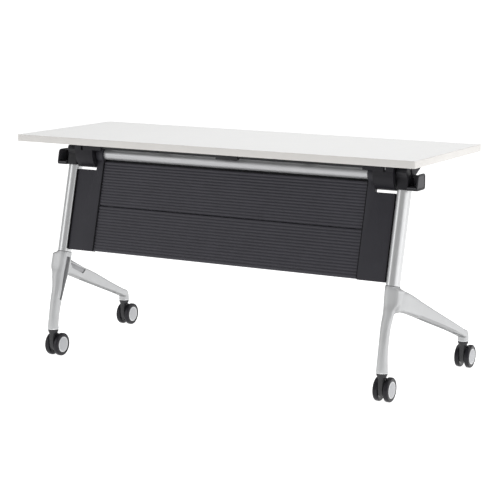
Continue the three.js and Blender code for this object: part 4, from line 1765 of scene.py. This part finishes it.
@dataclass
class Studio:
    """Camera, pale floor and soft light."""

    focal: float = 1619.9
    picture: float = 500.0
    middle: Pair = (254.5, 246.0)
    azimuth: float = 0.485485
    elevation: float = 0.169626
    roll: float = 0.010021
    distance: float = 5259.1
    target: tuple[float, float, float] = (35.57, -39.5, 393.98)
    sensor: float = 36.0
    far: float = 1000.0
    floor_half: float = 200000.0
    floor_tone: float = 0.47
    sky: float = 0.38
    aim: tuple[float, float, float] = (0.0, 0.0, 0.4)

    def camera(self) -> None:
        """Sets the camera where the photograph was taken."""
        flat = math.cos(self.elevation)
        sin, cos = math.sin(self.azimuth), math.cos(self.azimuth)
        back = Vector((sin * flat, -cos * flat, math.sin(self.elevation)))
        level = (-back).cross(Vector((0, 0, 1))).normalized()
        upright = level.cross(-back)
        right = level * math.cos(self.roll) + upright * math.sin(self.roll)
        over = upright * math.cos(self.roll) - level * math.sin(self.roll)
        data = bpy.data.cameras.new("camera")
        data.sensor_width = self.sensor
        data.lens = self.focal / self.picture * self.sensor
        data.shift_x = (self.picture / 2 - self.middle[0]) / self.picture
        data.shift_y = (self.middle[1] - self.picture / 2) / self.picture
        data.clip_end = self.far
        made = bpy.data.objects.new("camera", data)
        turn = Matrix((right, over, back)).transposed().to_4x4()
        spot = (Vector(self.target) + back * self.distance) * MM
        made.matrix_world = Matrix.Translation(spot) @ turn
        bpy.context.scene.collection.objects.link(made)
        bpy.context.scene.camera = made

    def floor(self) -> None:
        """Lays a plain pale floor."""
        reach = self.floor_half * MM
        mesh = bmesh.new()
        ways = ((-1, -1), (1, -1), (1, 1), (-1, 1))
        mesh.faces.new([mesh.verts.new((x * reach, y * reach, 0.0)) for x, y in ways])
        data = bpy.data.meshes.new("floor")
        mesh.to_mesh(data)
        paint = bpy.data.materials.new("pale_floor")
        paint.use_nodes = True
        shader = paint.node_tree.nodes["Principled BSDF"]
        shader.inputs["Base Color"].default_value = (*[self.floor_tone] * 3, 1.0)
        shader.inputs["Roughness"].default_value = 0.9
        shader.inputs["Specular IOR Level"].default_value = 0.1
        shader.inputs["Emission Color"].default_value = (1.0, 1.0, 1.0, 1.0)
        shader.inputs["Emission Strength"].default_value = 1.0
        data.materials.append(paint)
        made = bpy.data.objects.new("floor", data)
        bpy.context.scene.collection.objects.link(made)

    def lamp(
        self,
        name: str,
        spot: Sequence[float],
        size: Pair,
        power: float,
        mirrored_in_metal: bool = True,
    ) -> None:
        """Hangs one soft light that looks at the table.

        Args:
            name: The light's name.
            spot: Its place in metres.
            size: Its width and height in metres.
            power: Its power in watts.
            mirrored_in_metal: Whether shiny pieces show it.
        """
        data = bpy.data.lights.new(name, "AREA")
        data.shape = "RECTANGLE"
        data.size, data.size_y = size
        data.energy = power
        made = bpy.data.objects.new(name, data)
        made.location = spot
        made.visible_camera = False
        made.visible_glossy = mirrored_in_metal
        made.rotation_mode = "QUATERNION"
        made.rotation_quaternion = (Vector(self.aim) - Vector(spot)).to_track_quat("-Z", "Y")
        bpy.context.scene.collection.objects.link(made)

    def light(self) -> None:
        """Lights the table from all round, more from above and from the right."""
        world = bpy.data.worlds.new("studio")
        world.use_nodes = True
        sky = world.node_tree.nodes["Background"]
        sky.inputs["Color"].default_value = (1.0, 1.0, 1.0, 1.0)
        sky.inputs["Strength"].default_value = self.sky
        bpy.context.scene.world = world
        self.lamp("overhead", (0.2, 0.3, 3.4), (4.0, 3.0), 75.0)
        self.lamp("right_wall", (4.0, 0.2, 1.4), (5.0, 3.0), 40.0)
        self.lamp("front_left", (-2.0, -2.4, 1.2), (1.2, 2.0), 12.0)
        self.lamp("end_strip", (1.15, 0.0, 0.73), (0.6, 0.05), 0.8, mirrored_in_metal=False)
        bpy.context.scene.view_settings.view_transform = "Standard"

    def build(self) -> None:
        """Sets camera, floor and light."""
        self.camera()
        self.floor()
        self.light()


def main() -> None:
    """Builds the table's sub-assemblies in order."""
    logging.basicConfig(level=logging.INFO, format="%(message)s")
    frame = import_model()
    shop = Workshop(frame["nodes"])
    layout = Layout()
    Studio().build()
    Tabletop().build(shop)
    LeaningFrame(layout).build(shop)
    ModestyPanel(layout).build(shop)
    FlipHinge(layout).build(shop)
    foot = Foot(layout)
    foot.build(shop)
    for end, stem in (("front", foot.front_stem), ("rear", foot.rear_stem)):
        for side in Side:
            Castor(layout, f"{end}_{side.word}", side.value * stem[0], stem[1]).build(shop)


if __name__ == "__main__":
    main()
